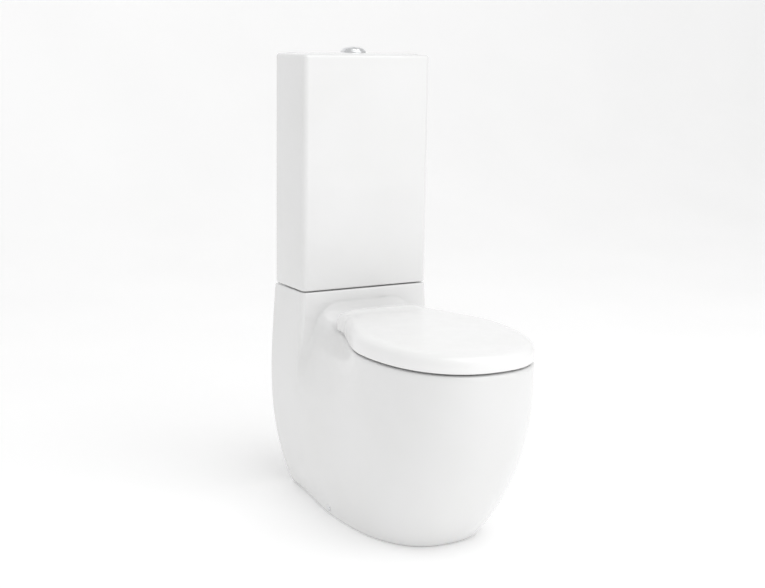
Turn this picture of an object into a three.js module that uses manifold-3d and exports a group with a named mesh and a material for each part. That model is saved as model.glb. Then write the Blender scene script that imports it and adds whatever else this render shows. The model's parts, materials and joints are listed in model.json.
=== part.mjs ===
// A close coupled toilet: a fully skirted pan, a tall slim cistern bolted on its shelf,
// and a wrap-over seat and lid. Millimetres, +Z up, the front faces -Y, the wall is at +Y.
// The origin is on the floor, on the centre line, halfway between the wall and the bowl's front.
// Depths are measured forwards from the wall, and fromWall() turns a depth into a Y.
import * as THREE from "three";
import { mergeVertices } from "three/addons/utils/BufferGeometryUtils.js";
import Module from "manifold-3d";

const wasm = await Module();
wasm.setup();

// ---- Driving dimensions ----
// Pan
const projection = 695; // wall to the front of the bowl
const rimHeight = 412;
const shelfRise = 80; // rim to the top of the block that carries the cistern
const rimHalfWidth = 177; // at the widest point
const rimReach = 245; // widest point to the front of the bowl
const rimPower = 2.33; // how square the bowl's front is, where 2 is an ellipse
const footFrontDepth = 530;
const footHalfWidth = 144;
const footWidestDepth = 273;
const footBackHalfWidth = 115;
const footPower = 2.6;
const uprightBand = 29; // the bowl's outside stands upright over this height below the rim
const waistDrop = 112; // rim down to where the block is widest
const waistHalfWidth = 172.6;
const neckMargin = 32.5; // each hinge's centre line to the side of the neck
const neckFlare = 23; // how much wider the neck is where it meets the block
const neckDrop = 142; // rim down to where the neck has faded into the block
const coveRadius = 58; // concave fillet between the rim deck and the block
const ceramicWall = 12;
const deckThickness = 15;
const bowlWall = 11;
const openingHalfWidth = 130;
const openingHalfLength = 182;
const openingReach = 235; // centre of the bowl's opening to the front of the bowl
const sumpHeight = 95;
const sumpDepth = 330;
const sumpHalfWidth = 40;
const sumpHalfLength = 46;
const backOpeningHalfWidth = 104;
const backOpeningDrop = 40; // shelf down to the top of the opening in the back
// Outlet and water ways
const outletHeight = 180;
const outletRadius = 51;
const outletBoreRadius = 42;
const outletEndDepth = 14;
const trapRadius = 48;
const trapBoreRadius = 38;
const flushWayRadius = 34;
const flushWayBoreRadius = 25;
// Cistern
const cisternWidth = 324;
const cisternDepth = 150;
const cisternHeight = 530;
const cisternWall = 11;
const cisternFloor = 14;
const cisternCorner = 14;
const couplingGap = 3; // between the pan's shelf and the cistern
const lidLedgeDrop = 12; // top of the cistern walls down to the ledge that the lid sits on
const lidEdgeInset = 14; // cistern's outside to the lid's edge
const lidEdgeGap = 1; // all round the lid
const ledgeWidth = 7;
const lidCrown = 4;
// Seat and lid
const skirtGap = 4; // rim to the underside of the lid's skirt
const lidEdgeHeight = 40; // rim to the top of the lid at the front
const lidRearRise = 8; // how much higher the lid is at its back
const lidShell = 4.5;
const lidSetback = 46; // cistern's front to the lid's back
const lidBackCorner = 26;
const ringInset = 9; // lid's outside to the ring's outside
const ringClearance = 6; // rim to the ring's underside
const ringThickness = 18;
const ringSetback = 94; // cistern's front to the ring's back
const ringBackCorner = 20;
const ringHoleHalfWidth = 105;
const ringHoleHalfLength = 165;
const ringHoleReach = 225; // centre of the ring's hole to the front of the bowl
const hingeSetback = 75; // cistern's front to the hinge axis
const hingeRise = 33; // rim to the hinge axis
const hingeSpacing = 155;
const hingePinRadius = 4;
const hingeFootRadius = 11;
const hingePostHalfWidth = 8;
const hingePostHalfDepth = 7;
const knuckleRadius = 8;
const damperRadius = 5;
const lidSwingRadius = 31; // the lid's back corners are trimmed to this about the hinge
// Fixings
const boltRadius = 4;
const boltHoleRadius = 6;
const boltMargin = 22; // seal's outside to the cistern bolts' centre line
const washerRadius = 14;
const wingSpan = 17;
const sealRadius = 50;
const sealBoreRadius = 40;
const sealRecess = 18;
const sealSlack = 2; // round the seal in its recess
const sealBossWall = 6;
const sideFixingDepth = 254;
const sideFixingHeight = 16;
const sideScrewRadius = 2.5;
const sideScrewHeadRadius = 5;
const sideSpotDrop = 2; // how far the flat spot under each side cap is let in
const sideSpotRadius = 8.5;
const sideCapRadius = 6.8;
// Push button
const buttonRadius = 25.4;
const buttonHeight = 12.5; // dome above the cistern lid
const buttonTravel = 7;
const buttonWall = 2;
const housingWall = 1.4;
const housingDepth = 30; // cistern lid's top to the housing's floor
const rodInset = 6.4; // button's edge to each push rod's centre line
const rodRadius = 2.5;
const splitOffset = 5; // the gap between the two buttons stands this far left of the centre
// Valves inside the cistern
const tailRadius = 30;
const tailBoreRadius = 25;
const cageRadius = 34;
const headHeight = 205; // cistern floor to the flush valve's head
const overflowDrop = 160; // overflow's top below the cistern's full height
const spindleRadius = 13.5;
const collarReach = 5; // push rod's centre line to the edge of the spindle's lifting collar
const leverBarRadius = 2;
const fillMargin = 40; // left cistern bolt to the fill valve
const fillTailRadius = 10;
const fillTailHoleRadius = 24; // in the pan's shelf
const riserRadius = 13;
const riserDrop = 180; // riser's height below the cistern's full height
const floatRadius = 31;
const floatHeight = 60;
const floatTravel = 14;
// Clearances
const touch = 0.3; // between pieces that bear on each other
const slip = 0.4; // radial, between a piece and the bore it turns or slides in

// ---- Derived places ----
const shelfHeight = rimHeight + shelfRise;
const widestDepth = projection - rimReach;
const openingDepth = projection - openingReach;
const ringHoleDepth = projection - ringHoleReach;
const cisternBase = shelfHeight + couplingGap;
const floorTop = cisternBase + cisternFloor;
const cisternTop = shelfHeight + cisternHeight;
const ledgeHeight = cisternTop - lidLedgeDrop;
const lidTop = cisternTop + lidCrown;
const centreDepth = cisternDepth / 2; // cistern, flush valve and button share this depth
const hingeDepth = cisternDepth + hingeSetback;
const hingeHeight = rimHeight + hingeRise;
const lidBackDepth = cisternDepth + lidSetback;
const neckHalfWidth = hingeSpacing / 2 + neckMargin; // at the rim, behind the seat
const ringBackDepth = cisternDepth + ringSetback;
const ringBottom = rimHeight + ringClearance;
const ringTop = ringBottom + ringThickness;
const shelfUnderside = shelfHeight - deckThickness;
const deckUnderside = rimHeight - deckThickness;
const boltOffset = sealRadius + boltMargin; // each cistern bolt from the centre line
const fillX = -boltOffset - fillMargin;
const rodOffset = buttonRadius - rodInset;
const collarRadius = rodOffset + collarReach;

function fromWall(depth) {
  return projection / 2 - depth;
}

// ---- Solids ----
// A closed three.js geometry as a solid that can be joined and cut.
function solid(geometry) {
  const bare = geometry.index ? geometry.toNonIndexed() : geometry.clone();
  bare.deleteAttribute("normal");
  bare.deleteAttribute("uv");
  const merged = mergeVertices(bare, 1e-4);
  return new wasm.Manifold(
    new wasm.Mesh({
      numProp: 3,
      vertProperties: new Float32Array(merged.attributes.position.array),
      triVerts: new Uint32Array(merged.index.array),
    }),
  );
}

function geometryOf(body) {
  const mesh = body.getMesh();
  const geometry = new THREE.BufferGeometry();
  geometry.setAttribute("position", new THREE.BufferAttribute(mesh.vertProperties, 3));
  geometry.setIndex(new THREE.BufferAttribute(mesh.triVerts, 1));
  geometry.computeVertexNormals();
  return geometry;
}

function box(x0, x1, depth0, depth1, z0, z1) {
  const geometry = new THREE.BoxGeometry(x1 - x0, depth1 - depth0, z1 - z0);
  geometry.translate((x0 + x1) / 2, fromWall((depth0 + depth1) / 2), (z0 + z1) / 2);
  return solid(geometry);
}

// A cylinder along Z, or a cone where the two radii differ.
function post(radius, z0, z1, x, depth, sides = 12, topRadius = radius) {
  const geometry = new THREE.CylinderGeometry(topRadius, radius, z1 - z0, sides);
  geometry.rotateX(Math.PI / 2);
  geometry.translate(x, fromWall(depth), (z0 + z1) / 2);
  return solid(geometry);
}

// A cylinder along X.
function bar(radius, x0, x1, depth, z, sides = 12) {
  const geometry = new THREE.CylinderGeometry(radius, radius, x1 - x0, sides);
  geometry.rotateZ(Math.PI / 2);
  geometry.translate((x0 + x1) / 2, fromWall(depth), z);
  return solid(geometry);
}

// A cylinder along Y, between two depths.
function spigot(radius, depth0, depth1, x, z, sides = 20) {
  const geometry = new THREE.CylinderGeometry(radius, radius, depth1 - depth0, sides);
  geometry.translate(x, fromWall((depth0 + depth1) / 2), z);
  return solid(geometry);
}

function tube(outer, inner, z0, z1, x, depth, sides = 12) {
  return post(outer, z0, z1, x, depth, sides).subtract(post(inner, z0 - 1, z1 + 1, x, depth, sides));
}

// A round pipe along a smooth line through [depth, z] points on the centre line.
function pipe(radius, route, sides = 12, steps = 8) {
  const points = route.map(([depth, z]) => new THREE.Vector3(0, fromWall(depth), z));
  const section = new THREE.Shape().absarc(0, 0, radius, 0, 2 * Math.PI);
  const geometry = new THREE.ExtrudeGeometry(section, {
    curveSegments: sides / 2,
    steps,
    extrudePath: new THREE.CatmullRomCurve3(points),
  });
  return solid(geometry);
}

// A solid skinned over outlines with the same number of points, from the lowest to the highest.
function loft(rings) {
  const count = rings[0].length;
  const position = rings.flat().flatMap((p) => [p.x, p.y, p.z]);
  const flat = (ring) => ring.map((p) => new THREE.Vector2(p.x, p.y));
  const index = [];
  for (const [a, b, c] of THREE.ShapeUtils.triangulateShape(flat(rings[0]), [])) {
    index.push(a, c, b);
  }
  const last = (rings.length - 1) * count;
  for (const [a, b, c] of THREE.ShapeUtils.triangulateShape(flat(rings.at(-1)), [])) {
    index.push(last + a, last + b, last + c);
  }
  for (let r = 0; r < rings.length - 1; r += 1) {
    for (let i = 0; i < count; i += 1) {
      const a = r * count + i;
      const b = r * count + ((i + 1) % count);
      index.push(a, b, b + count, a, b + count, a + count);
    }
  }
  const geometry = new THREE.BufferGeometry();
  geometry.setAttribute("position", new THREE.Float32BufferAttribute(position, 3));
  geometry.setIndex(index);
  return solid(geometry);
}

// ---- Outlines ----
const ease = (t) => t * t * (3 - 2 * t);
const mix = (a, b, t) => a + (b - a) * t;
const clamp01 = (t) => Math.min(1, Math.max(0, t));

// Mirrors [half-width, depth] pairs, which run from the back's middle to the front's middle, into a ring.
function mirrored(half, z) {
  const height = typeof z === "function" ? z : () => z;
  const at = (x, depth) => new THREE.Vector3(x, fromWall(depth), height(depth));
  const left = half.map(([x, depth]) => at(-x, depth));
  const right = half.slice(1, -1).map(([x, depth]) => at(x, depth));
  return [...left, ...right.reverse()];
}

// Half of a superellipse's front, from its widest point to its tip.
function frontHalf(halfWidth, centre, reach, power, count) {
  const points = [];
  for (let i = 0; i <= count; i += 1) {
    const angle = ((i / count) * Math.PI) / 2;
    const x = i === count ? 0 : halfWidth * Math.cos(angle) ** (2 / power);
    points.push([x, centre + reach * Math.sin(angle) ** (2 / power)]);
  }
  return points;
}

function oval(halfWidth, halfLength, centre, z, power = 2.2, count = 8) {
  const front = frontHalf(halfWidth, 0, halfLength, power, count);
  const back = front.slice(1).map(([x, depth]) => [x, centre - depth]);
  return mirrored([...back.reverse(), ...front.map(([x, depth]) => [x, centre + depth])], z);
}

function roundedRectangle(halfWidth, depth0, depth1, corner, z, segments = 4) {
  const half = [[0, depth0]];
  for (const [turn, depth] of [[-Math.PI / 2, depth0 + corner], [0, depth1 - corner]]) {
    for (let i = 0; i <= segments; i += 1) {
      const angle = turn + ((i / segments) * Math.PI) / 2;
      half.push([halfWidth - corner + corner * Math.cos(angle), depth + corner * Math.sin(angle)]);
    }
  }
  return mirrored([...half, [0, depth1]], z);
}

// Half-width of the seat and rim between the block and the widest point.
function neckWidth(depth) {
  const start = cisternDepth + 0.95 * coveRadius;
  const flare = clamp01((start - depth) / (start - cisternDepth));
  const neck = neckHalfWidth + neckFlare * flare * flare;
  return mix(neck, rimHalfWidth, ease(clamp01((depth - start) / (widestDepth - start))));
}

// Half-width of the pan where it meets the wall.
function backWidth(z) {
  const waistHeight = rimHeight - waistDrop;
  if (z < waistHeight) {
    return mix(waistHalfWidth, footBackHalfWidth, (1 - z / waistHeight) ** 2.35);
  }
  const up = (z - waistHeight) / (shelfHeight - waistHeight);
  return mix(waistHalfWidth, cisternWidth / 2, up ** 1.5);
}

// How far down the bowl's outside one height is, from 0 at the upright band to 1 at the floor.
function lowness(z) {
  return clamp01(1 - z / (rimHeight - uprightBand));
}

// Greatest half-width of the pan at one height.
function panWidest(z) {
  return mix(rimHalfWidth, footHalfWidth, lowness(z) ** 2.36);
}

// The outside of the skirt and bowl at one height, or that outline drawn in by inset.
function panOutline(z, inset = 0) {
  const low = lowness(z);
  const widest = panWidest(z);
  const centre = mix(widestDepth, footWidestDepth, low ** 2.44);
  const front = mix(projection, footFrontDepth, low ** 2.23);
  const power = mix(rimPower, footPower, low);
  const neck = clamp01(1 - (rimHeight - z) / neckDrop) ** 1.15;
  const half = [[0, inset]];
  for (const share of [0, 0.17, 0.33, 0.42, 0.5, 0.6, 0.7, 0.8, 0.9]) {
    const depth = mix(inset, centre, share);
    const plain = mix(backWidth(z), widest, ease(share));
    half.push([mix(plain, Math.min(plain, neckWidth(depth)), neck) - inset, depth]);
  }
  return mirrored([...half, ...frontHalf(widest - inset, centre, front - inset - centre, power, 10)], z);
}

// The lid's or ring's outline, drawn in from the rim's own by inset.
function seatOutline(inset, back, z, corner = lidBackCorner) {
  const half = [[0, back]];
  for (let i = 0; i <= 4; i += 1) {
    const angle = ((i / 4 - 1) * Math.PI) / 2;
    const side = neckHalfWidth - inset - corner;
    half.push([side + corner * Math.cos(angle), back + corner + corner * Math.sin(angle)]);
  }
  for (const share of [0.2, 0.4, 0.55, 0.7, 0.85]) {
    const depth = mix(back + corner, widestDepth, share);
    half.push([neckWidth(depth) - inset, depth]);
  }
  const reach = projection - inset - widestDepth;
  return mirrored([...half, ...frontHalf(rimHalfWidth - inset, widestDepth, reach, rimPower, 12)], z);
}

// ---- Materials and the scene ----
const toilet = new THREE.Group();

function finish(color, roughness, metalness = 0) {
  return new THREE.MeshStandardMaterial({ color, roughness, metalness });
}
const glaze = finish(0xf2f2f1, 0.08);
const seatPlastic = finish(0xf5f5f4, 0.18);
const chrome = finish(0xd6d8da, 0.1, 1);
const steel = finish(0xaeb1b4, 0.35, 1);
const brass = finish(0xb08d4a, 0.35, 1);
const rubber = finish(0x2a2a2b, 0.8);
const whitePlastic = finish(0xe6e7e6, 0.4);
const greyPlastic = finish(0x8b8f93, 0.5);

function add(name, body, material) {
  const mesh = new THREE.Mesh(geometryOf(body), material);
  mesh.name = name;
  toilet.add(mesh);
}

const SIDES = [["left", -1], ["right", 1]];

// ---- Pan ----
const panShares = [0, 0.044, 0.121, 0.218, 0.34, 0.485, 0.655, 0.752, 0.85, 0.93, 1];
const panLevels = panShares.map((share) => share * rimHeight);
const blockLevels = [0, 30, 80, 130, 180, neckDrop + shelfRise].map((rise) => rimHeight - neckDrop + rise);

// The bowl's inside, from the sump to its opening: how far up each section is, then how far out and
// forward.
const bowlSections = [
  [0, 0, 0],
  [0.095, 0.08, 0.115],
  [0.237, 0.256, 0.423],
  [0.426, 0.544, 0.731],
  [0.647, 0.811, 0.923],
  [0.868, 0.98, 1],
  [1, 1, 1],
].map(([up, out, forward]) => [
  mix(sumpHeight, rimHeight, up),
  mix(sumpHalfWidth, openingHalfWidth, out),
  mix(sumpHalfLength, openingHalfLength, out),
  mix(sumpDepth, openingDepth, forward),
]);
const trapRoute = [
  [sumpDepth + 2, sumpHeight + 17],
  [sumpDepth - 62, sumpHeight + 23],
  [212, 172],
  [160, outletHeight + 36],
  [108, outletHeight + 28],
  [58, outletHeight],
];
const flushRoute = [
  [centreDepth, shelfUnderside + 2],
  [centreDepth + 5, rimHeight + 8],
  [centreDepth + 65, deckUnderside - 15],
  [centreDepth + 135, deckUnderside - 25],
  [openingDepth - openingHalfLength + 6, deckUnderside - 27],
];

function blockSolid(inset, top) {
  const rings = blockLevels
    .map((z) => Math.min(z, top))
    .map((z) => roundedRectangle(backWidth(z) - inset, inset, cisternDepth - inset, cisternCorner, z));
  return loft(rings);
}

// The concave fillet that carries the rim deck up into the block's front face.
function coveSolid() {
  const rings = [-0.5, 0, 0.2, 0.4, 0.62, 0.8, 0.93].map((share) => {
    const up = Math.max(0, share);
    const reach = coveRadius * (1 - Math.sqrt(1 - (1 - up) ** 2));
    const width = (neckHalfWidth + neckFlare) * (1 - up ** 2.6) ** (1 / 2.6) - 4;
    const [front, corner] = [cisternDepth + reach, Math.min(8, reach)];
    return roundedRectangle(width, cisternDepth - 20, front, corner, rimHeight + coveRadius * share);
  });
  return loft(rings);
}

function bowlSolid(wall) {
  const rings = bowlSections.map(([z, halfWidth, halfLength, centre], i) => {
    const lowest = i === 0 ? z - wall : z;
    const height = i === bowlSections.length - 1 && wall === 0 ? z + 2 : lowest;
    return oval(halfWidth + wall, halfLength + wall, centre, height);
  });
  return loft(rings);
}

// The side fixings go through the skirt on a flat spot, this far from the centre line.
const sideShare = ease(sideFixingDepth / footWidestDepth);
const sideSeat = mix(backWidth(sideFixingHeight), panWidest(sideFixingHeight), sideShare) - sideSpotDrop;

// A cylinder along X at a side fixing, between two distances from the centre line.
function sideBar(side, radius, near, far) {
  const span = side > 0 ? [near, far] : [-far, -near];
  return bar(radius, ...span, sideFixingDepth, sideFixingHeight);
}

function pan() {
  const backOpeningTop = shelfHeight - backOpeningDrop;
  const hollowLevels = [-5, 0, 30, 90, 170, 0.655 * rimHeight, 0.8 * rimHeight, deckUnderside];
  const sealRecessRadius = sealRadius + sealSlack;
  const bossRadius = sealRecessRadius + sealBossWall;
  const sealBoss = post(bossRadius, shelfUnderside - sealRecess, shelfHeight, 0, centreDepth, 24);
  let body = loft(panLevels.map((z) => panOutline(z)));
  body = body.add(blockSolid(0, shelfHeight)).add(coveSolid());
  body = body.subtract(loft(hollowLevels.map((z) => panOutline(z, ceramicWall))));
  body = body.subtract(blockSolid(ceramicWall, shelfUnderside));
  body = body.add(bowlSolid(bowlWall));
  body = body.add(pipe(trapRadius, trapRoute)).add(pipe(flushWayRadius, flushRoute));
  body = body.add(spigot(outletRadius, outletEndDepth, outletEndDepth + 48, 0, outletHeight)).add(sealBoss);
  body = body.subtract(bowlSolid(0)).subtract(pipe(trapBoreRadius, trapRoute));
  body = body.subtract(spigot(outletBoreRadius, outletEndDepth - 4, outletEndDepth + 46, 0, outletHeight));
  const intoBowl = [openingDepth - openingHalfLength + 22, deckUnderside - 27];
  body = body.subtract(pipe(flushWayBoreRadius, [...flushRoute.slice(0, -1), intoBowl]));
  const above = shelfHeight + 2;
  body = body.subtract(post(sealRecessRadius, shelfHeight - sealRecess, above, 0, centreDepth, 24));
  const half = backOpeningHalfWidth;
  body = body.subtract(box(-half, half, -5, ceramicWall + 1, -5, backOpeningTop));
  body = body.subtract(post(fillTailHoleRadius, shelfUnderside - 2, above, fillX, centreDepth, 20));
  for (const [, side] of SIDES) {
    const hingeX = (side * hingeSpacing) / 2;
    body = body.subtract(
      post(boltHoleRadius, shelfUnderside - 2, shelfHeight + 2, side * boltOffset, centreDepth),
    );
    body = body.subtract(post(boltHoleRadius, deckUnderside - 2, rimHeight + 2, hingeX, hingeDepth));
    body = body.subtract(sideBar(side, sideScrewRadius + 1, sideSeat - 40, sideSeat + 20));
    body = body.subtract(sideBar(side, sideSpotRadius, sideSeat, sideSeat + 20));
  }
  return body;
}
add("pan", pan(), glaze);

// ---- Side floor fixings ----
const bracketFace = sideSeat - ceramicWall - 3.5; // outer face of the bracket's upright
for (const [word, side] of SIDES) {
  const span = (near, far) => (side > 0 ? [near, far] : [-far, -near]);
  const [depth0, depth1] = [sideFixingDepth - 18, sideFixingDepth + 18];
  const upright = box(...span(bracketFace - 5, bracketFace), depth0, depth1, 0, 34);
  const foot = box(...span(bracketFace - 40, bracketFace), depth0, depth1, 0, 5);
  const anchorHole = post(4, -1, 6, side * (bracketFace - 24), sideFixingDepth);
  const screwHole = sideBar(side, sideScrewRadius + slip, bracketFace - 9, bracketFace + 9);
  add(`floor_bracket_${word}`, upright.add(foot).subtract(screwHole).subtract(anchorHole), greyPlastic);
  const shank = sideBar(side, sideScrewRadius, bracketFace - 12, sideSeat + 1);
  const head = sideBar(side, sideScrewHeadRadius, sideSeat + touch, sideSeat + 2.5);
  add(`side_screw_${word}`, shank.add(head), steel);
  const cap = sideBar(side, sideCapRadius, sideSeat + touch, sideSeat + 4.5);
  const recess = sideBar(side, sideScrewHeadRadius + slip, sideSeat - 1, sideSeat + 3);
  add(`side_cap_${word}`, cap.subtract(recess), chrome);
}

// ---- Cistern ----
function cisternSection(inset, z) {
  const corner = Math.max(3, cisternCorner - inset);
  return roundedRectangle(cisternWidth / 2 - inset, inset, cisternDepth - inset, corner, z);
}

function cistern() {
  const outside = [
    [3, cisternBase],
    [0, cisternBase + 4],
    [0, cisternTop - 8],
    [2.4, cisternTop - 2.4],
    [8, cisternTop],
  ];
  let body = loft(outside.map(([inset, z]) => cisternSection(inset, z)));
  const rebateInset = lidEdgeInset - lidEdgeGap;
  const ledgeInset = rebateInset + ledgeWidth;
  const inside = [
    [cisternWall + 6, floorTop],
    [cisternWall, floorTop + 8],
    [cisternWall, ledgeHeight - 16],
    [ledgeInset, ledgeHeight - 9],
    [ledgeInset, ledgeHeight + 1],
  ];
  body = body.subtract(loft(inside.map(([inset, z]) => cisternSection(inset, z))));
  const rebate = [ledgeHeight, cisternTop + 2].map((z) => cisternSection(rebateInset, z));
  body = body.subtract(loft(rebate));
  body = body.subtract(post(tailRadius + 1, cisternBase - 2, floorTop + 2, 0, centreDepth, 24));
  body = body.subtract(post(fillTailRadius + 1, cisternBase - 2, floorTop + 2, fillX, centreDepth));
  for (const [, side] of SIDES) {
    const x = side * boltOffset;
    body = body.subtract(post(boltHoleRadius, cisternBase - 2, floorTop + 2, x, centreDepth));
  }
  return body;
}
add("cistern", cistern(), glaze);

const housingRadius = buttonRadius + slip + housingWall;
function cisternLid() {
  const profile = [
    [0, ledgeHeight + touch],
    [0, cisternTop - 3],
    [5, cisternTop],
    [24, lidTop - 1],
    [38, lidTop],
  ];
  const body = loft(profile.map(([inset, z]) => cisternSection(lidEdgeInset + inset, z)));
  return body.subtract(post(housingRadius + slip, ledgeHeight - 2, lidTop + 2, 0, centreDepth, 28));
}
add("cistern_lid", cisternLid(), glaze);

// ---- Cistern fixings ----
function hexNut(outer, bore, z0, z1, x, depth) {
  return post(outer, z0, z1, x, depth, 6).subtract(post(bore, z0 - 1, z1 + 1, x, depth, 12));
}

function wingNut(z0, x, depth) {
  const hub = post(9, z0, z0 + 9, x, depth, 12);
  const wings = box(x - 2, x + 2, depth - wingSpan, depth + wingSpan, z0, z0 + 7);
  const flange = post(11, z0 + 9, z0 + 11, x, depth);
  return hub.add(wings).add(flange).subtract(post(boltRadius + slip, z0 - 1, z0 + 12, x, depth));
}

const sealFloor = shelfHeight - sealRecess;
add(
  "close_coupling_seal",
  tube(sealRadius, sealBoreRadius, sealFloor + touch, cisternBase - touch, 0, centreDepth, 24),
  rubber,
);
for (const [word, side] of SIDES) {
  const x = side * boltOffset;
  const washerTop = floorTop + touch + 4;
  const washer = tube(washerRadius, boltRadius + slip, floorTop + touch, washerTop, x, centreDepth);
  add(`cistern_bolt_washer_${word}`, washer, rubber);
  const shank = post(boltRadius, shelfUnderside - 34, washerTop + 1, x, centreDepth, 12);
  const head = post(10, washerTop + touch, washerTop + 4, x, centreDepth, 16, 8);
  add(`cistern_bolt_${word}`, shank.add(head), brass);
  const [low, high] = [shelfHeight + touch, cisternBase - touch];
  const spacer = tube(washerRadius - 1, boltRadius + slip, low, high, x, centreDepth);
  add(`coupling_washer_${word}`, spacer, rubber);
  add(`cistern_wing_nut_${word}`, wingNut(shelfUnderside - touch - 11, x, centreDepth), brass);
}

// ---- Flush valve ----
const baseTop = floorTop + 8;
function flushValveBase() {
  const flange = post(40, floorTop + 2 + touch, floorTop + 5, 0, centreDepth, 24);
  const tail = post(tailRadius, sealFloor + 4, floorTop + 5, 0, centreDepth, 24);
  const seat = post(tailBoreRadius + 3, floorTop + 4, baseTop, 0, centreDepth, 24);
  return flange.add(tail).add(seat).subtract(post(tailBoreRadius, 400, baseTop + 1, 0, centreDepth, 24));
}
add("flush_valve_base", flushValveBase(), whitePlastic);
add(
  "flush_valve_gasket",
  tube(39, tailRadius + 1, floorTop + touch, floorTop + 2, 0, centreDepth, 24),
  rubber,
);
add(
  "flush_valve_backnut",
  post(38, sealFloor + 6, cisternBase - touch, 0, centreDepth, 8).subtract(
    post(tailRadius + slip, sealFloor, cisternBase + 1, 0, centreDepth, 24),
  ),
  whitePlastic,
);

const headBottom = floorTop + headHeight;
function flushValveCage() {
  let body = tube(cageRadius, cageRadius - 3, floorTop + 5 + touch, headBottom - touch, 0, centreDepth, 24);
  const windows = box(-50, 50, centreDepth - 9, centreDepth + 9, floorTop + 18, floorTop + 66);
  body = body.subtract(windows);
  return body.subtract(box(-9, 9, centreDepth - 50, centreDepth + 50, floorTop + 18, floorTop + 66));
}
add("flush_valve_cage", flushValveCage(), whitePlastic);

// The full-flush lever turns about a bar along X, with the push rod ahead of it and the tip behind it.
const leverPivotDepth = centreDepth - 8;
const leverRodDepth = centreDepth + 8;
const leverTipDepth = centreDepth - 21;
const leverHeight = headBottom + 26;
const leverX = rodOffset;
function flushValveHead() {
  let body = post(38, headBottom, headBottom + 8, 0, centreDepth, 24);
  const [near, far] = [leverPivotDepth - 6, leverPivotDepth + 6];
  const cheek = (x) => box(x, x + 2.5, near, far, headBottom + 6, leverHeight + 4.5);
  body = body.add(cheek(leverX - 5.5)).add(cheek(leverX + 3));
  const guide = (half, z0, z1) =>
    box(-leverX - half, -leverX + half, leverRodDepth - half, leverRodDepth + half, z0, z1);
  body = body.add(guide(6, headBottom + 6, headBottom + 18));
  body = body.subtract(post(spindleRadius + slip, headBottom - 1, headBottom + 30, 0, centreDepth, 20));
  body = body.subtract(guide(3, headBottom - 2, headBottom + 20));
  const bore = leverBarRadius + slip;
  return body.subtract(bar(bore, leverX - 8, leverX + 8, leverPivotDepth, leverHeight, 12));
}
add("flush_valve_head", flushValveHead(), whitePlastic);

function flushLever() {
  const [low, high] = [leverHeight - 2.5, leverHeight + 2.5];
  const arm = box(leverX - 2, leverX + 2, leverTipDepth, leverRodDepth + 4, low, high);
  const pivot = bar(leverBarRadius, leverX - 5, leverX + 5, leverPivotDepth, leverHeight, 12);
  const tip = box(leverX - 8, leverX + 2, leverTipDepth - 1, leverTipDepth + 3, low, high);
  return arm.add(pivot).add(tip);
}
add("flush_lever", flushLever(), greyPlastic);

const latchTop = leverHeight + 2.5;
function halfFlushLatch() {
  const square = (half, z0, z1) =>
    box(-leverX - half, -leverX + half, leverRodDepth - half, leverRodDepth + half, z0, z1);
  return square(2.6, headBottom - 8, latchTop - 3).add(square(5, latchTop - 3, latchTop));
}
add("half_flush_latch", halfFlushLatch(), greyPlastic);

const sealLow = baseTop + touch;
function flushValveSpindle() {
  const collarLow = leverHeight + 6.5;
  const overflowTop = floorTop + cisternHeight - overflowDrop;
  const overflow = post(spindleRadius, sealLow + 4, overflowTop, 0, centreDepth, 20);
  const disc = post(26, sealLow + 4 + touch, sealLow + 9, 0, centreDepth, 24);
  const collar = post(collarRadius, collarLow, collarLow + 3, 0, centreDepth, 24);
  // The collar is cut back beside the two push rods.
  const past = collarRadius + 6;
  const rods = box(-past, past, centreDepth + 1, centreDepth + past, collarLow - 1, collarLow + 4);
  const flanged = overflow.add(disc).add(collar.subtract(rods));
  return flanged.subtract(post(spindleRadius - 3, 400, 2000, 0, centreDepth, 20));
}
add("flush_valve_spindle", flushValveSpindle(), greyPlastic);
const sealTop = sealLow + 4 - touch;
add("flush_valve_seal", tube(28, spindleRadius - 3, sealLow, sealTop, 0, centreDepth, 24), rubber);

// ---- Fill valve ----
const riserTop = floorTop + cisternHeight - riserDrop;
const floatBarHeight = riserTop + 36;
function fillValveBody() {
  const tail = post(fillTailRadius, shelfHeight - 46, floorTop + 4, fillX, centreDepth);
  const flange = post(19, floorTop + 3 + touch, floorTop + 7, fillX, centreDepth);
  const riser = post(riserRadius, floorTop + 6, riserTop, fillX, centreDepth);
  const head = post(18, riserTop - 1, riserTop + 26, fillX, centreDepth);
  const lug = (x) => box(x, x + 3, centreDepth - 16, centreDepth - 6, riserTop + 20, floatBarHeight + 5);
  let body = tail.add(flange).add(riser).add(head).add(lug(fillX - 7)).add(lug(fillX + 4));
  body = body.subtract(post(5.5, 400, riserTop + 12, fillX, centreDepth, 12));
  const spout = bar(4, fillX, fillX + 24, centreDepth, riserTop + 8, 10);
  body = body.subtract(spout);
  const bore = leverBarRadius + slip;
  return body.subtract(bar(bore, fillX - 9, fillX + 9, centreDepth - 11, floatBarHeight, 12));
}
add("fill_valve_body", fillValveBody(), whitePlastic);
const fillBore = fillTailRadius + slip;
add("fill_valve_washer", tube(18, fillBore, floorTop + touch, floorTop + 3, fillX, centreDepth), rubber);
add(
  "fill_valve_backnut",
  hexNut(16, fillBore, cisternBase - 11, cisternBase - touch, fillX, centreDepth),
  whitePlastic,
);

const floatTop = riserTop - 6 - floatTravel;
const linkDepth = centreDepth + 25;
function fillValveFloat() {
  const cup = tube(floatRadius, riserRadius + 1, floatTop - floatHeight, floatTop, fillX, centreDepth, 20);
  return cup.add(post(2.5, floatTop - 1, riserTop + 26, fillX, linkDepth, 8));
}
add("fill_valve_float", fillValveFloat(), greyPlastic);

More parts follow.
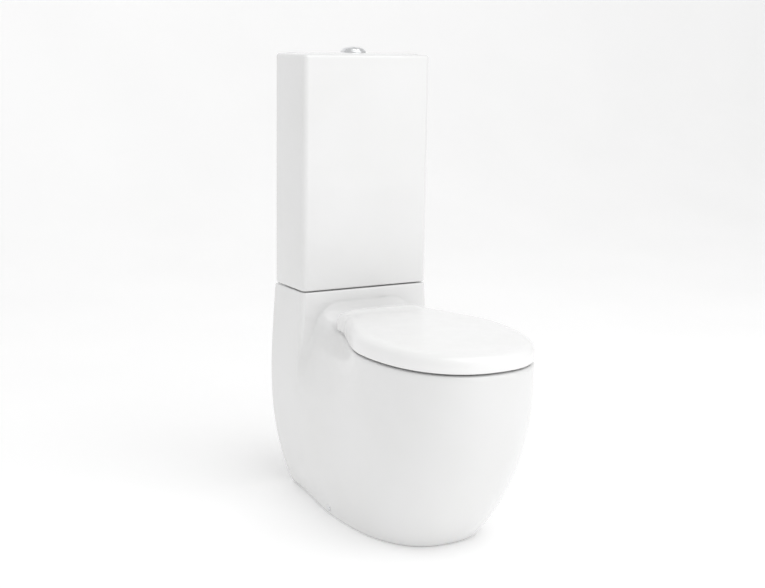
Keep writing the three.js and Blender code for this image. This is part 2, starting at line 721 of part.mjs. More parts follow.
function fillValveLever() {
  const [low, high] = [floatBarHeight - 3, floatBarHeight + 3];
  const arm = box(fillX - 3, fillX + 3, centreDepth - 14, linkDepth + 5, low, high);
  return arm.add(bar(leverBarRadius, fillX - 8, fillX + 8, centreDepth - 11, floatBarHeight, 12));
}
add("fill_valve_lever", fillValveLever(), whitePlastic);

// ---- Push button ----
const housingFloor = lidTop - housingDepth;
const buttonBase = housingFloor + 3 + buttonTravel + 1.5;
const buttonTop = lidTop + buttonHeight;
function buttonHousing() {
  const [flange, flangeTop] = [housingRadius + 2.2, housingRadius + 0.8];
  const rimRing = post(flange, lidTop + touch, lidTop + 4, 0, centreDepth, 28, flangeTop);
  let body = post(housingRadius, housingFloor, lidTop + 5, 0, centreDepth, 28).add(rimRing);
  body = body.subtract(post(buttonRadius + slip, housingFloor + 3, lidTop + 6, 0, centreDepth, 28));
  for (const x of [-rodOffset, rodOffset]) {
    body = body.subtract(post(rodRadius + slip, housingFloor - 1, housingFloor + 4, x, leverRodDepth, 12));
  }
  return body;
}
add("button_housing", buttonHousing(), chrome);
add(
  "button_nut",
  post(36, ledgeHeight - 9, ledgeHeight - touch, 0, centreDepth, 8).subtract(
    post(housingRadius + slip, ledgeHeight - 10, ledgeHeight, 0, centreDepth, 28),
  ),
  whitePlastic,
);

// A low dome over a plain drum, which the two buttons share between them.
function buttonDome() {
  const profile = [new THREE.Vector2(0, buttonBase)];
  for (let i = 0; i <= 6; i += 1) {
    const angle = ((i / 6) * Math.PI) / 2;
    const z = lidTop + 5 + (buttonTop - lidTop - 5) * Math.sin(angle);
    profile.push(new THREE.Vector2(i === 6 ? 0 : buttonRadius * Math.cos(angle), z));
  }
  profile.splice(1, 0, new THREE.Vector2(buttonRadius, buttonBase));
  const geometry = new THREE.LatheGeometry(profile, 28);
  geometry.rotateX(Math.PI / 2);
  geometry.translate(0, fromWall(centreDepth), 0);
  return solid(geometry);
}

// The full-flush button is the larger share, on the right.
const buttons = [
  ["full", 1, [0.5 - splitOffset, 2 * buttonRadius]],
  ["half", -1, [-2 * buttonRadius, -0.5 - splitOffset]],
];
for (const [word, side, [x0, x1]] of buttons) {
  const reach = 2 * buttonRadius;
  const cut = box(x0, x1, centreDepth - reach, centreDepth + reach, buttonBase - 1, buttonTop + 1);
  const hollow = post(buttonRadius - buttonWall, buttonBase - 1, lidTop + 5, 0, centreDepth, 28);
  const boss = post(4.5, buttonBase - 2, lidTop + 6, side * rodOffset, leverRodDepth);
  const shell = buttonDome().subtract(hollow.subtract(boss));
  add(`${word}_flush_button`, shell.intersect(cut), chrome);
  const rodLow = latchTop + 1.2; // both levers' tops are level
  const rod = post(rodRadius, rodLow, buttonBase - touch, side * rodOffset, leverRodDepth, 12);
  add(`${word}_flush_rod`, rod, whitePlastic);
}

// A spring round each rod, from the housing's floor to the button.
class Helix extends THREE.Curve {
  constructor(radius, turns, z0, z1, x, y) {
    super();
    Object.assign(this, { radius, turns, z0, z1, x, y });
  }
  getPoint(t, target = new THREE.Vector3()) {
    const angle = t * this.turns * 2 * Math.PI;
    const x = this.x + this.radius * Math.cos(angle);
    return target.set(x, this.y + this.radius * Math.sin(angle), mix(this.z0, this.z1, t));
  }
}
for (const [word, side] of buttons) {
  const z0 = housingFloor + 3 + 0.9;
  const path = new Helix(3.7, 3, z0, buttonBase - 0.9, side * rodOffset, fromWall(leverRodDepth));
  const wire = new THREE.Shape().absarc(0, 0, 0.5, 0, 2 * Math.PI);
  const geometry = new THREE.ExtrudeGeometry(wire, { curveSegments: 2, steps: 27, extrudePath: path });
  add(`${word}_button_spring`, solid(geometry), steel);
}

// ---- Seat hinges ----
const hingeOffset = hingeSpacing / 2;
for (const [word, side] of SIDES) {
  const x = side * hingeOffset;
  const [x0, x1] = [x - hingePostHalfWidth, x + hingePostHalfWidth];
  const gasketTop = rimHeight + touch + 1.7;
  const gasketRadius = hingeFootRadius + 1;
  const gasket = tube(gasketRadius, boltRadius + slip, rimHeight + touch, gasketTop, x, hingeDepth, 20);
  add(`hinge_gasket_${word}`, gasket, rubber);
  const foot = post(hingeFootRadius, gasketTop + touch, gasketTop + 5, x, hingeDepth, 20);
  const [depth0, depth1] = [hingeDepth - hingePostHalfDepth, hingeDepth + hingePostHalfDepth];
  const upright = box(x0, x1, depth0, depth1, gasketTop + 3, hingeHeight);
  const crown = bar(hingePostHalfDepth, x0, x1, hingeDepth, hingeHeight);
  const pinBore = bar(hingePinRadius + touch, x - 20, x + 20, hingeDepth, hingeHeight);
  const socket = post(boltRadius + touch, rimHeight, gasketTop + 12, x, hingeDepth, 12);
  add(`hinge_post_${word}`, foot.add(upright).add(crown).subtract(pinBore).subtract(socket), chrome);
  add(`hinge_bolt_${word}`, post(boltRadius, deckUnderside - 32, gasketTop + 11, x, hingeDepth, 12), steel);
  add(`hinge_wing_nut_${word}`, wingNut(deckUnderside - touch - 11, x, hingeDepth), whitePlastic);
  const reach = [x + side * 19, x - side * 17].sort((a, b) => a - b);
  add(`hinge_pin_${word}`, bar(hingePinRadius, ...reach, hingeDepth, hingeHeight), steel);
}

// A knuckle on the hinge axis, with a web to the panel that it carries.
function knuckle(x0, x1, web) {
  return bar(knuckleRadius, x0, x1, hingeDepth, hingeHeight).add(web);
}
const boreRadius = hingePinRadius + slip;
const outerKnuckle = [hingeOffset + hingePostHalfWidth + 1, hingeOffset + hingePostHalfWidth + 12];
const innerKnuckle = [18, hingeOffset - hingePostHalfWidth - 1];
const damperStart = hingeOffset - 17 - touch; // where the pin ends and the damper begins

// ---- Seat ring ----
function seatRing() {
  const levels = [
    [2, ringBottom],
    [0, ringBottom + 3],
    [0, ringTop - 5],
    [3, ringTop - 1],
    [7, ringTop],
  ];
  let body = loft(
    levels.map(([inset, z]) => seatOutline(ringInset + inset, ringBackDepth + inset, z, ringBackCorner)),
  );
  const opening = [[0, ringBottom - 2], [0, ringTop - 6], [4, ringTop + 2]];
  const hole = opening.map(([grow, z]) =>
    oval(ringHoleHalfWidth + grow, ringHoleHalfLength + grow, ringHoleDepth, z),
  );
  body = body.subtract(loft(hole));
  const web = (x0, x1) => box(x0, x1, hingeDepth, ringBackDepth + 14, ringTop - 10, ringTop + 5);
  const [outer0, outer1] = outerKnuckle;
  const [inner0, inner1] = innerKnuckle;
  const outer = knuckle(outer0, outer1, web(outer0, outer1));
  const inner = knuckle(-inner1, -inner0, web(-inner1, -inner0));
  const bore = bar(boreRadius, -outerKnuckle[1] - 2, outerKnuckle[1] + 2, hingeDepth, hingeHeight);
  const damperBore = bar(damperRadius + slip, -damperStart, 0, hingeDepth, hingeHeight);
  return body.add(outer.add(inner).subtract(bore).subtract(damperBore));
}
add("seat_ring", seatRing(), seatPlastic);
add("seat_damper", bar(damperRadius, -damperStart, -innerKnuckle[0], hingeDepth, hingeHeight), greyPlastic);

// Each pair of pads, by how far it stands from the centre line and from the front of the bowl.
const seatBuffers = [
  ["front", rimHalfWidth - 65, projection - 95],
  ["rear", rimHalfWidth - 30, projection - 290],
];
for (const [place, x, depth] of seatBuffers) {
  for (const [word, side] of SIDES) {
    const pad = post(8, rimHeight + touch, ringBottom - touch, side * x, depth, 12, 9);
    add(`seat_buffer_${place}_${word}`, pad, whitePlastic);
  }
}

// ---- Lid ----
// The lid's top falls from the hinge to the front.
function lidHeight(drop) {
  return (depth) => {
    const back = clamp01((projection - depth) / (projection - lidBackDepth));
    return rimHeight + lidEdgeHeight - drop + lidRearRise * back * (1 - drop / lidEdgeHeight);
  };
}

function lid() {
  const drops = [
    [1.5, lidEdgeHeight - skirtGap],
    [0, lidEdgeHeight - skirtGap - 4],
    [1, 18],
    [4, 9],
    [10, 3.5],
    [20, 0.8],
    [38, 0],
  ];
  let body = loft(drops.map(([inset, drop]) => seatOutline(inset, lidBackDepth + inset, lidHeight(drop))));
  const hollow = [
    [lidShell, lidEdgeHeight],
    [lidShell + 1, 18],
    [lidShell + 5, 10],
    [lidShell + 14, lidShell],
  ];
  const inside = hollow.map(([inset, drop]) =>
    seatOutline(inset, lidBackDepth + inset, lidHeight(drop), lidBackCorner - lidShell),
  );
  body = body.subtract(loft(inside));
  // The back's corners are trimmed to an arc, so that they swing over the deck, and between them
  // the back's lower edge is cut away, so that it swings in behind the ring.
  const [rearStart, rearEnd] = [lidBackDepth - 5, hingeDepth];
  const rear = box(-200, 200, rearStart, rearEnd, rimHeight - 5, hingeHeight - 5);
  body = body.subtract(rear.subtract(bar(lidSwingRadius, -210, 210, hingeDepth, hingeHeight, 32)));
  const tail = neckHalfWidth - ringInset - 1;
  body = body.subtract(box(-tail, tail, rearStart, rearEnd, rimHeight - 5, ringTop - 5));
  // Two slots let the back pass the hinge posts, and a lower step beside each one passes the ring's arm.
  const slotTop = hingeHeight + hingePostHalfDepth + 4;
  const slotEnd = hingeDepth - hingePostHalfDepth;
  const slotReach = hingeFootRadius + 1.2;
  for (const [, side] of SIDES) {
    const x = side * hingeOffset;
    const slot = box(x - slotReach, x + slotReach, rearStart, slotEnd, ringTop - 6, slotTop);
    const [x0, x1] = [x, side * (outerKnuckle[1] + 1)].sort((a, b) => a - b);
    body = body.subtract(slot).subtract(box(x0, x1, rearStart, slotEnd, ringTop - 6, hingeHeight + 4));
  }
  const boreEnd = outerKnuckle[1] + 2;
  body = body.subtract(bar(knuckleRadius + 1, -boreEnd, boreEnd, hingeDepth, hingeHeight));
  const webTop = rimHeight + lidEdgeHeight + lidRearRise - 5;
  const web = (x0, x1) => box(x0, x1, hingeDepth - 5, hingeDepth + 5, hingeHeight, webTop);
  const [outer0, outer1] = outerKnuckle;
  const [inner0, inner1] = innerKnuckle;
  const outer = knuckle(-outer1, -outer0, web(-outer1, -outer0));
  const inner = knuckle(inner0, inner1, web(inner0, inner1));
  const bore = bar(boreRadius, -boreEnd, boreEnd, hingeDepth, hingeHeight);
  const damperBore = bar(damperRadius + slip, 0, damperStart, hingeDepth, hingeHeight);
  return body.add(outer.add(inner).subtract(bore).subtract(damperBore));
}
add("lid", lid(), seatPlastic);
add("lid_damper", bar(damperRadius, innerKnuckle[0], damperStart, hingeDepth, hingeHeight), greyPlastic);
for (const [word, side] of SIDES) {
  const pad = post(7, ringTop + touch, ringTop + 9.5, side * 62, projection - 40, 12);
  add(`lid_buffer_${word}`, pad, whitePlastic);
}

export default toilet;
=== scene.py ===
"""A close coupled toilet in white glazed ceramic, dressed over its packed working frame.

Metres, +Z up, the front faces -Y and the wall is at +Y. A depth is measured forwards from the
wall. Every piece is made in place, and rides on the body that carries it.
"""

import json
import math

import bmesh
import bpy
from mathutils import Matrix, Vector


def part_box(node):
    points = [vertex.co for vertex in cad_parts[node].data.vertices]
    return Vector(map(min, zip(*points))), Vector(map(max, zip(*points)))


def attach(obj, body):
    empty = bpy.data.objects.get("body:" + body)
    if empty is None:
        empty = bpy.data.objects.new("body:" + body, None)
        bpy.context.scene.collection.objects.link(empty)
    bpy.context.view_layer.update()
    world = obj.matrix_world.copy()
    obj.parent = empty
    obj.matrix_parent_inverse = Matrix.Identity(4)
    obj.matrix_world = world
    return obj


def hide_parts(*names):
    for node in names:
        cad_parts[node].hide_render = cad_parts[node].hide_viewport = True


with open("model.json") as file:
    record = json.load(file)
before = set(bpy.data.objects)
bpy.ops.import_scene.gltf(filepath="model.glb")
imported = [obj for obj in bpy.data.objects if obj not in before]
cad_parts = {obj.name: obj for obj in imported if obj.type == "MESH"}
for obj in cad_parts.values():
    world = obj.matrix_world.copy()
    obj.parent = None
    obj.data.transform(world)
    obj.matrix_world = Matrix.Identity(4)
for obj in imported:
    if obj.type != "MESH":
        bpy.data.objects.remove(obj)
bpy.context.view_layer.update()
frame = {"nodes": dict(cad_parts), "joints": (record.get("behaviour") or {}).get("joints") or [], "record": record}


# ---- Camera ----
# A long-lens product view from the front left, a little above the cistern's button.
CAMERA_PLACE = Vector((-1.5022, -2.4829, 1.0776))
CAMERA_YAW = math.radians(29.98)  # to the right of straight on
CAMERA_PITCH = math.radians(11.04)  # down
CAMERA_ROLL = 0.0159

lens = bpy.data.cameras.new("product_lens")
lens.sensor_width = 36
lens.lens = 63.8
camera = bpy.data.objects.new("product_camera", lens)
camera.matrix_world = (
    Matrix.Translation(CAMERA_PLACE)
    @ Matrix.Rotation(-CAMERA_YAW, 4, "Z")
    @ Matrix.Rotation(math.pi / 2 - CAMERA_PITCH, 4, "X")
    @ Matrix.Rotation(CAMERA_ROLL, 4, "Z")
)
bpy.context.scene.collection.objects.link(camera)
bpy.context.scene.camera = camera


# ---- Glazed ceramic ----
# Vitreous china: a dense white body under a clear, thick glaze. The glaze pools a little, so its
# gloss and its surface wander slowly, and the body shows as a faint warm and cool drift.
def shader(name, **constants):
    """A new material, its node tree, and its Principled shader with plain numbers set on the sockets."""
    material = bpy.data.materials.new(name)
    material.use_nodes = True
    tree = material.node_tree
    principled = tree.nodes["Principled BSDF"]
    for socket, value in constants.items():
        principled.inputs[socket.replace("_", " ")].default_value = value
    return material, tree, principled


def noise(tree, scale, detail=2.0, stretch=(1, 1, 1)):
    """Noise on Object coordinates, scale cells to the metre, as its factor socket."""
    place = tree.nodes.new("ShaderNodeTexCoord")
    mapping = tree.nodes.new("ShaderNodeMapping")
    mapping.inputs["Scale"].default_value = stretch
    texture = tree.nodes.new("ShaderNodeTexNoise")
    texture.inputs["Scale"].default_value = scale
    texture.inputs["Detail"].default_value = detail
    tree.links.new(place.outputs["Object"], mapping.inputs["Vector"])
    tree.links.new(mapping.outputs["Vector"], texture.inputs["Vector"])
    return texture.outputs["Fac"]


def drift(tree, target, factor, low, high):
    """Drives a socket between two values, or two colours, with a factor."""
    ramp = tree.nodes.new("ShaderNodeValToRGB")
    for element, value in zip(ramp.color_ramp.elements, (low, high)):
        colour = value if isinstance(value, tuple) else (value, value, value)
        element.color = (*colour, 1)
    ramp.color_ramp.elements[0].position = 0.3
    ramp.color_ramp.elements[1].position = 0.7
    tree.links.new(factor, ramp.inputs["Fac"])
    tree.links.new(ramp.outputs["Color"], target)


def relief(tree, principled, factor, strength, distance):
    """Raises a surface by a factor, as a fine bump."""
    bump = tree.nodes.new("ShaderNodeBump")
    bump.inputs["Strength"].default_value = strength
    bump.inputs["Distance"].default_value = distance
    tree.links.new(factor, bump.inputs["Height"])
    tree.links.new(bump.outputs["Normal"], principled.inputs["Normal"])


def make_glaze():
    material, tree, principled = shader("white_glaze", IOR=1.52, Coat_Weight=0.6, Coat_Roughness=0.03)
    drift(tree, principled.inputs["Base Color"], noise(tree, 5), (0.785, 0.785, 0.78), (0.81, 0.81, 0.81))
    drift(tree, principled.inputs["Roughness"], noise(tree, 24), 0.07, 0.13)
    relief(tree, principled, noise(tree, 14, 1.0), 0.05, 0.004)
    return material


glaze = make_glaze()


# ---- Pan ----
# One slip casting: a skirted bowl that runs back into an upright block, whose shelf carries the
# cistern. The neck behind the seat meets the block in a cove, and the skirt is open at the back.
MM = 0.001


def mix(a, b, t):
    return a + (b - a) * t


def clamp01(t):
    return min(1.0, max(0.0, t))


def ease(t):
    return t * t * (3 - 2 * t)


pan_low, pan_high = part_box("pan")
cistern_low, cistern_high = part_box("cistern")
gasket_low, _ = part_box("hinge_gasket_left")
post_low, post_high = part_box("hinge_post_left")
wall_y = pan_high.y
projection = wall_y - pan_low.y
shelf_height = pan_high.z
rim_height = gasket_low.z - 0.3 * MM
cistern_depth = cistern_high.y - cistern_low.y
cistern_half_width = cistern_high.x
hinge_offset = -(post_low.x + post_high.x) / 2

# Plan of the rim, seat and neck
rim_half_width = 177 * MM
widest_depth = projection - 245 * MM
rim_power = 2.33
neck_half_width = hinge_offset + 32.5 * MM
neck_flare = 23 * MM
cove_radius = 58 * MM
neck_start = cistern_depth + 0.95 * cove_radius
# Plan of the foot, and how the sides run between them
foot_front_depth = 530 * MM
foot_half_width = 144 * MM
foot_widest_depth = 273 * MM
foot_back_half_width = 115 * MM
foot_power = 2.6
upright_band = 29 * MM
waist_height = rim_height - 112 * MM
waist_half_width = 172.6 * MM
neck_drop = 160 * MM  # height over which the neck draws in below the rim
neck_drop_power = 1.9
crisp_drop = neck_drop - 20 * MM  # height over which the block's corner melts into the skirt
weld = 0.05 * MM  # corners closer than this become one
# Edges and walls
ceramic_wall = 12 * MM
block_corner = 12 * MM
back_corner = 8 * MM
rim_edge = 10 * MM
crest_shoulder = 49.5 * MM  # how far the arch over the cove rounds inwards
crest_groove = 0.5 * MM  # a soft hollow just inside the arch over the cove
crest_drop = 7 * MM  # beside the cove, the flank's rounding starts this much lower
crest_slide = 18 * MM  # how far the crest slides off the block's face low down
crest_slide_reach = 80 * MM
groove_reach = 24 * MM
cove_draft = 5.5 * MM
shelf_edge = 3.5 * MM
shelf_edge_steps = 5
window_half_width = 104 * MM
window_top = shelf_height - 40 * MM
# Bowl
opening_half_width = 130 * MM
opening_half_length = 182 * MM
opening_depth = projection - 235 * MM
opening_power = 2.2
lip_radius = 8 * MM
sump_height = 150 * MM
sump_depth = 330 * MM
sump_half_width = 43 * MM
sump_half_length = 49 * MM
undercut = 5 * MM  # the bowl widens by this much below its lip
undercut_drop = 24 * MM
undercut_spread = 9 * MM


def neck_width(depth):
    flare = clamp01((neck_start - depth) / (neck_start - cistern_depth))
    neck = neck_half_width + neck_flare * (1 - math.sqrt(max(0.0, 1 - flare**2)))
    return mix(neck, rim_half_width, ease(clamp01((depth - neck_start) / (widest_depth - neck_start))))


def back_width(z):
    if z < waist_height:
        return mix(waist_half_width, foot_back_half_width, (1 - z / waist_height) ** 2.35)
    up = (z - waist_height) / (shelf_height - waist_height)
    return mix(waist_half_width, cistern_half_width, up**1.5)


def superellipse(angle, power):
    """(across, along) on a unit superellipse."""
    across, along = math.cos(angle), math.sin(angle)
    return tuple(math.copysign(abs(value) ** (2 / power), value) for value in (across, along))


def plan_at(z):
    """The skirt's widest half-width, its depth there, its front depth and its squareness at a height."""
    low = clamp01(1 - z / (rim_height - upright_band))
    return (
        mix(rim_half_width, foot_half_width, low**2.36),
        mix(widest_depth, foot_widest_depth, low**2.44),
        mix(projection, foot_front_depth, low**2.23),
        mix(rim_power, foot_power, low),
    )


def neck_share(z):
    """How far the neck has drawn in at a height, from 0 low on the skirt to 1 at the rim."""
    return clamp01(1 - (rim_height - z) / neck_drop) ** neck_drop_power


def plain_width(depth, z):
    widest, centre, _, _ = plan_at(z)
    return mix(back_width(z), widest, ease(clamp01(depth / centre)))


def groove_sink(depth):
    """How far the soft groove inside the cove's crest draws the surface back."""
    past = depth - cistern_depth
    return crest_groove * math.sqrt(clamp01(past / (0.1 * MM))) * (1 - clamp01(past / groove_reach))


face_low = rim_height - rim_edge - crest_drop  # where the arch over the cove leaves the upright flank


def flank_point(kind, value, z):
    """A point of the outside at a height, as (half-width, depth). The columns go from the back's
    window round the block's corner and face to the crest, along the flank and round the front."""
    widest, centre, front, power = plan_at(z)
    if kind == "front":
        across, along = superellipse(value, power)
        return widest * across, centre + (front - centre) * along
    share = neck_share(z)
    if kind == "flank":
        # Depths run from the block's face to the widest point, which moves back towards the foot.
        depth = mix(cistern_depth, centre, flank_order[value])
        near = mix(depth, value, share)
        # Low down, the crest slides forwards off the block's face, and its crease opens out.
        low = 1 - clamp01(share / neck_share(face_low))
        slide = crest_slide * low * (1 - clamp01((value - cistern_depth) / crest_slide_reach)) ** 2
        plain = plain_width(near + slide, z)
        forward = near + slide - groove_sink(value) * share
        return mix(plain, min(plain, neck_width(near)), share), forward
    width = back_width(z)
    if kind == "back":
        return mix(window_half_width, width - back_corner, value), 0.0
    if kind == "back corner":
        return width - back_corner * (1 - math.sin(value)), back_corner * (1 - math.cos(value))
    crisp = clamp01(1 - (face_low - z) / crisp_drop) ** 1.6
    if kind == "side":
        depth = mix(back_corner, cistern_depth - block_corner, value)
        return mix(plain_width(depth, z), width, crisp), depth
    if kind == "corner":
        depth = cistern_depth - block_corner * (1 - value / (math.pi / 2))
        drawn_in = width - block_corner * (1 - math.cos(value))
        round_depth = cistern_depth - block_corner * (1 - math.sin(value))
        return mix(plain_width(depth, z), drawn_in, crisp), mix(depth, round_depth, crisp)
    near = flank_point("corner", math.pi / 2, z)
    crest = flank_point("flank", cistern_depth, z)
    return mix(near[0], crest[0], value), mix(near[1], crest[1], value)


def spread(start, end, count, first=True):
    """Even steps from start to end, with or without the first."""
    return [mix(start, end, i / count) for i in range(0 if first else 1, count + 1)]


back_columns = [("back", t) for t in spread(0, 1, 4)]
corner_columns = [("back corner", a) for a in spread(0, math.pi / 2, 4, first=False)]
side_columns = [("side", t) for t in spread(0, 1, 8, first=False)]
block_corner_columns = [("corner", a) for a in spread(0, math.pi / 2, 8, first=False)]
face_columns = [("face", t) for t in (0.3, 0.6, 0.85, 0.94, 1)]
block_columns = back_columns + corner_columns + side_columns + block_corner_columns
cove_shares = (0, 0.001, 0.004, 0.012, 0.03, 0.06, 0.1, 0.155, 0.22, 0.3, 0.4, 0.5, 0.62, 0.74, 0.87, 1)
cove_depths = [cistern_depth + cove_radius * t for t in cove_shares]
bowl_edge = opening_depth - opening_half_length - lip_radius
neck_depths = spread(cove_depths[-1], bowl_edge, 8, first=False)
bowl_side_steps, bowl_front_steps = 20, 34
bowl_turns = spread(-math.pi / 2, 0, bowl_side_steps)
bowl_turns += spread(0, math.pi / 2, bowl_front_steps, first=False)
side_turns = bowl_turns[1 : bowl_side_steps + 1]
bowl_forward = [1 - abs(math.sin(turn)) ** (2 / opening_power) for turn in side_turns]
side_depths = [mix(bowl_edge, widest_depth, share) for share in bowl_forward]
flank_columns = [("flank", d) for d in cove_depths + neck_depths + side_depths]
flank_order = {depth: i / (len(flank_columns) - 1) for i, (_, depth) in enumerate(flank_columns)}
front_columns = [("front", a) for a in spread(0, math.pi / 2, bowl_front_steps, first=False)]
rim_columns = flank_columns + front_columns


def grid(bm, columns, rows, place):
    """A sheet of quads, whose corners are placed by their column and row numbers."""
    made = bmesh.ops.create_grid(bm, x_segments=columns - 1, y_segments=rows - 1, size=1)
    for number, vert in enumerate(made["verts"]):
        vert.co = place(number % columns, number // columns)


def cove_rise(depth):
    """How far up the cove is at a depth, from 1 at the block's face to 0 at its foot."""
    along = clamp01((depth - cistern_depth) / cove_radius)
    return 1 - math.sqrt(max(0.0, 1 - (1 - along) ** 2))


def flank_top(kind, value):
    """Where a column's upright part ends and its rounding into the deck begins."""
    rise = cove_rise(value) if kind == "flank" else 0.0 if kind == "front" else 1.0
    return rim_height - rim_edge - crest_drop * rise


def at(half_width, depth, z):
    return Vector((half_width, wall_y - depth, z))


skirt_rows = [0, 0.006, 0.014] + spread(0.03, 0.66, 26) + spread(0.66, 1, 30, first=False)
foot_round = {0: 3.0 * MM, 1: 0.9 * MM, 2: 0.15 * MM}


def skirt(columns):
    def place(i, j):
        kind, value = columns[i]
        z = flank_top(kind, value) * skirt_rows[j]
        half_width, depth = flank_point(kind, value, z)
        draw = foot_round.get(j, 0.0)
        half_width -= draw * half_width / rim_half_width
        depth += draw * clamp01((opening_depth - depth) / opening_depth) - draw * clamp01(
            (depth - foot_widest_depth) / opening_half_length
        )
        return at(half_width, depth, z)

    return place


def rim_corner(i):
    """Where the flank's upright line would meet the deck or the cove, for one rim column."""
    kind, value = rim_columns[i]
    if kind == "flank" and value < cove_depths[-1]:
        rise = cove_rise(value)
        back = value - groove_sink(value)
        return Vector((neck_half_width + cove_draft * rise, back, rim_height + cove_radius * rise))
    half_width, depth = flank_point(kind, value, rim_height)
    return Vector((half_width, depth, rim_height))


def rim_inward(i):
    """The direction from the rim's edge in over the deck, in plan."""
    kind, value = rim_columns[i]
    if kind == "flank" and value <= neck_depths[-1]:
        return Vector((-1, 0, 0))
    before, after = rim_corner(i - 1), rim_corner(min(i + 1, len(rim_columns) - 1))
    if i == len(rim_columns) - 1:
        return Vector((0, -1, 0))
    along = after - before
    return Vector((-along.y, along.x, 0)).normalized()


def deck_goal(i):
    """Where a rim column ends: on the centre line over the neck, or on the bowl's edge."""
    kind, value = rim_columns[i]
    if kind == "flank" and value <= bowl_edge:
        return Vector((0, value, 0))
    across, along = superellipse(bowl_turns[i - len(rim_columns)], opening_power)
    reach = opening_half_length + lip_radius
    return Vector(((opening_half_width + lip_radius) * across, opening_depth + reach * along, 0))


rounding = spread(0, 1, 8)
deck_steps = [0.06, 0.2, 0.4, 0.6, 0.8, 0.93, 1]


def deck(i, j):
    """The deck and the cove. Its first column is a margin round the arch, flat on the block's face."""
    if i == 0:
        crest = deck(1, j)
        foot = deck(1, 0)
        margin = flank_point("face", face_columns[-2][1], face_low)[0] - foot.x
        return crest + margin * Vector((crest.x, 0, crest.z - foot.z)).normalized()
    i -= 1
    kind, value = rim_columns[i]
    top = flank_top(kind, value)
    half_width, depth = flank_point(kind, value, top)
    start = Vector((half_width, depth, top))
    corner = rim_corner(i)
    rise = cove_rise(value) if kind == "flank" else 0.0
    reach = mix(rim_edge, crest_shoulder, rise)
    end = corner + rim_inward(i) * reach
    if j < len(rounding):
        t = rounding[j]
        point = start * (1 - t) ** 2 + corner * 2 * t * (1 - t) + end * t * t
    else:
        goal = deck_goal(i)
        goal.z = end.z
        point = end.lerp(goal, deck_steps[j - len(rounding)])
    if i == 0:
        point.y = cistern_depth
    return at(point.x, point.y, point.z)


lip_steps, bowl_wall_steps = 6, 26
# The trap's sections, down from the sump, up over the weir and back to the outlet: depth, height,
# half-width and half-length in millimetres, and tilt in degrees.
trap_route = [
    (330, 128, 43, 49, 90),
    (327, 112, 42, 47, 84),
    (315, 96, 41, 43, 62),
    (294, 86, 40, 40, 25),
    (268, 90, 39, 38, -22),
    (244, 108, 38, 38, -48),
    (222, 134, 38, 38, -56),
    (202, 166, 38, 38, -58),
    (184, 192, 38, 38, -46),
    (162, 208, 38, 38, -18),
    (138, 208, 38, 38, 18),
    (116, 198, 39, 39, 24),
    (92, 187, 40, 40, 18),
    (62, 180, 42, 42, 2),
    (30, 180, 42, 42, 0),
    (14, 180, 42, 42, 0),
]


def bowl_section(j):
    """Centre depth, height, half-width, half-length, tilt and squareness of one section."""
    if j <= lip_steps:
        turn = j / lip_steps * math.pi / 2
        out = lip_radius * (1 - math.sin(turn))
        z = rim_height - lip_radius * (1 - math.cos(turn))
        return opening_depth, z, opening_half_width + out, opening_half_length + out, 90, opening_power
    if j <= lip_steps + bowl_wall_steps:
        down = (j - lip_steps) / bowl_wall_steps
        up = 1 - down
        top = rim_height - lip_radius
        z = mix(sump_height, top, up)
        out = ease(up) ** 0.7
        widening = undercut * math.exp(-(((z - (top - undercut_drop)) / undercut_spread) ** 2))
        return (
            mix(sump_depth, opening_depth, 1 - (1 - up) ** 2.2),
            z,
            mix(sump_half_width, opening_half_width, out) + widening,
            mix(sump_half_length, opening_half_length, out) + widening,
            90,
            mix(2, opening_power, up),
        )
    depth, z, half_width, half_length, tilt = trap_route[j - lip_steps - bowl_wall_steps - 1]
    return depth * MM, z * MM, half_width * MM, half_length * MM, tilt, 2


def bowl(i, j):
    depth, z, half_width, half_length, tilt, power = bowl_section(j)
    across, along = superellipse(bowl_turns[i], power)
    turn = math.radians(tilt)
    # The section's own length points forwards when the way runs down, and up when it runs back.
    return at(
        half_width * across,
        depth + half_length * along * math.sin(turn),
        z + half_length * along * math.cos(turn),
    )


edge_low = shelf_height - shelf_edge
top_columns = [("middle", t) for t in spread(0, 1, 4)][:-1] + block_columns
front_edge = [("across", t) for t in spread(0, 1, 8, first=False)]


def block_side(first_z, last_z, columns, steps):
    def place(i, j):
        kind, value = columns[i]
        z = mix(first_z, last_z, steps[j])
        if kind == "middle":
            return at(window_half_width * value, 0, z)
        if kind == "across":
            return at((back_width(z) - block_corner) * (1 - value), cistern_depth, z)
        if kind == "side":
            return at(back_width(z), mix(back_corner, cistern_depth - block_corner, value), z)
        if kind == "corner":
            return at(
                back_width(z) - block_corner * (1 - math.cos(value)),
                cistern_depth - block_corner * (1 - math.sin(value)),
                z,
            )
        half_width, depth = flank_point(kind, value, z)
        return at(half_width, depth, z)

    return place


def shelf_rounding(columns):
    """Rounds the block's top over into the shelf, drawn in from every side towards the middle."""
    side = block_side(edge_low, edge_low, columns, [0])
    middle = cistern_depth / 2

    def place(i, j):
        point = side(i, 0)
        turn = j / shelf_edge_steps * math.pi / 2
        draw = shelf_edge * (1 - math.cos(turn))
        past_middle = wall_y - point.y - middle
        point.x -= draw * clamp01(point.x / (20 * MM))
        point.y += math.copysign(draw, past_middle) * clamp01(abs(past_middle) / (40 * MM))
        point.z = edge_low + shelf_edge * math.sin(turn)
        return point

    return place


def outer_edges(bm, test):
    """The open edges whose two ends both pass a test."""
    return [e for e in bm.edges if e.is_boundary and all(test(v.co) for v in e.verts)]


flat_tolerance = 0.2 * MM


def on_block_face(co):
    """On the block's flat face, above where the crest begins."""
    return abs(co.y - (wall_y - cistern_depth)) < flat_tolerance and co.z > face_low - flat_tolerance


def on_shelf(co):
    return abs(co.z - shelf_height) < flat_tolerance


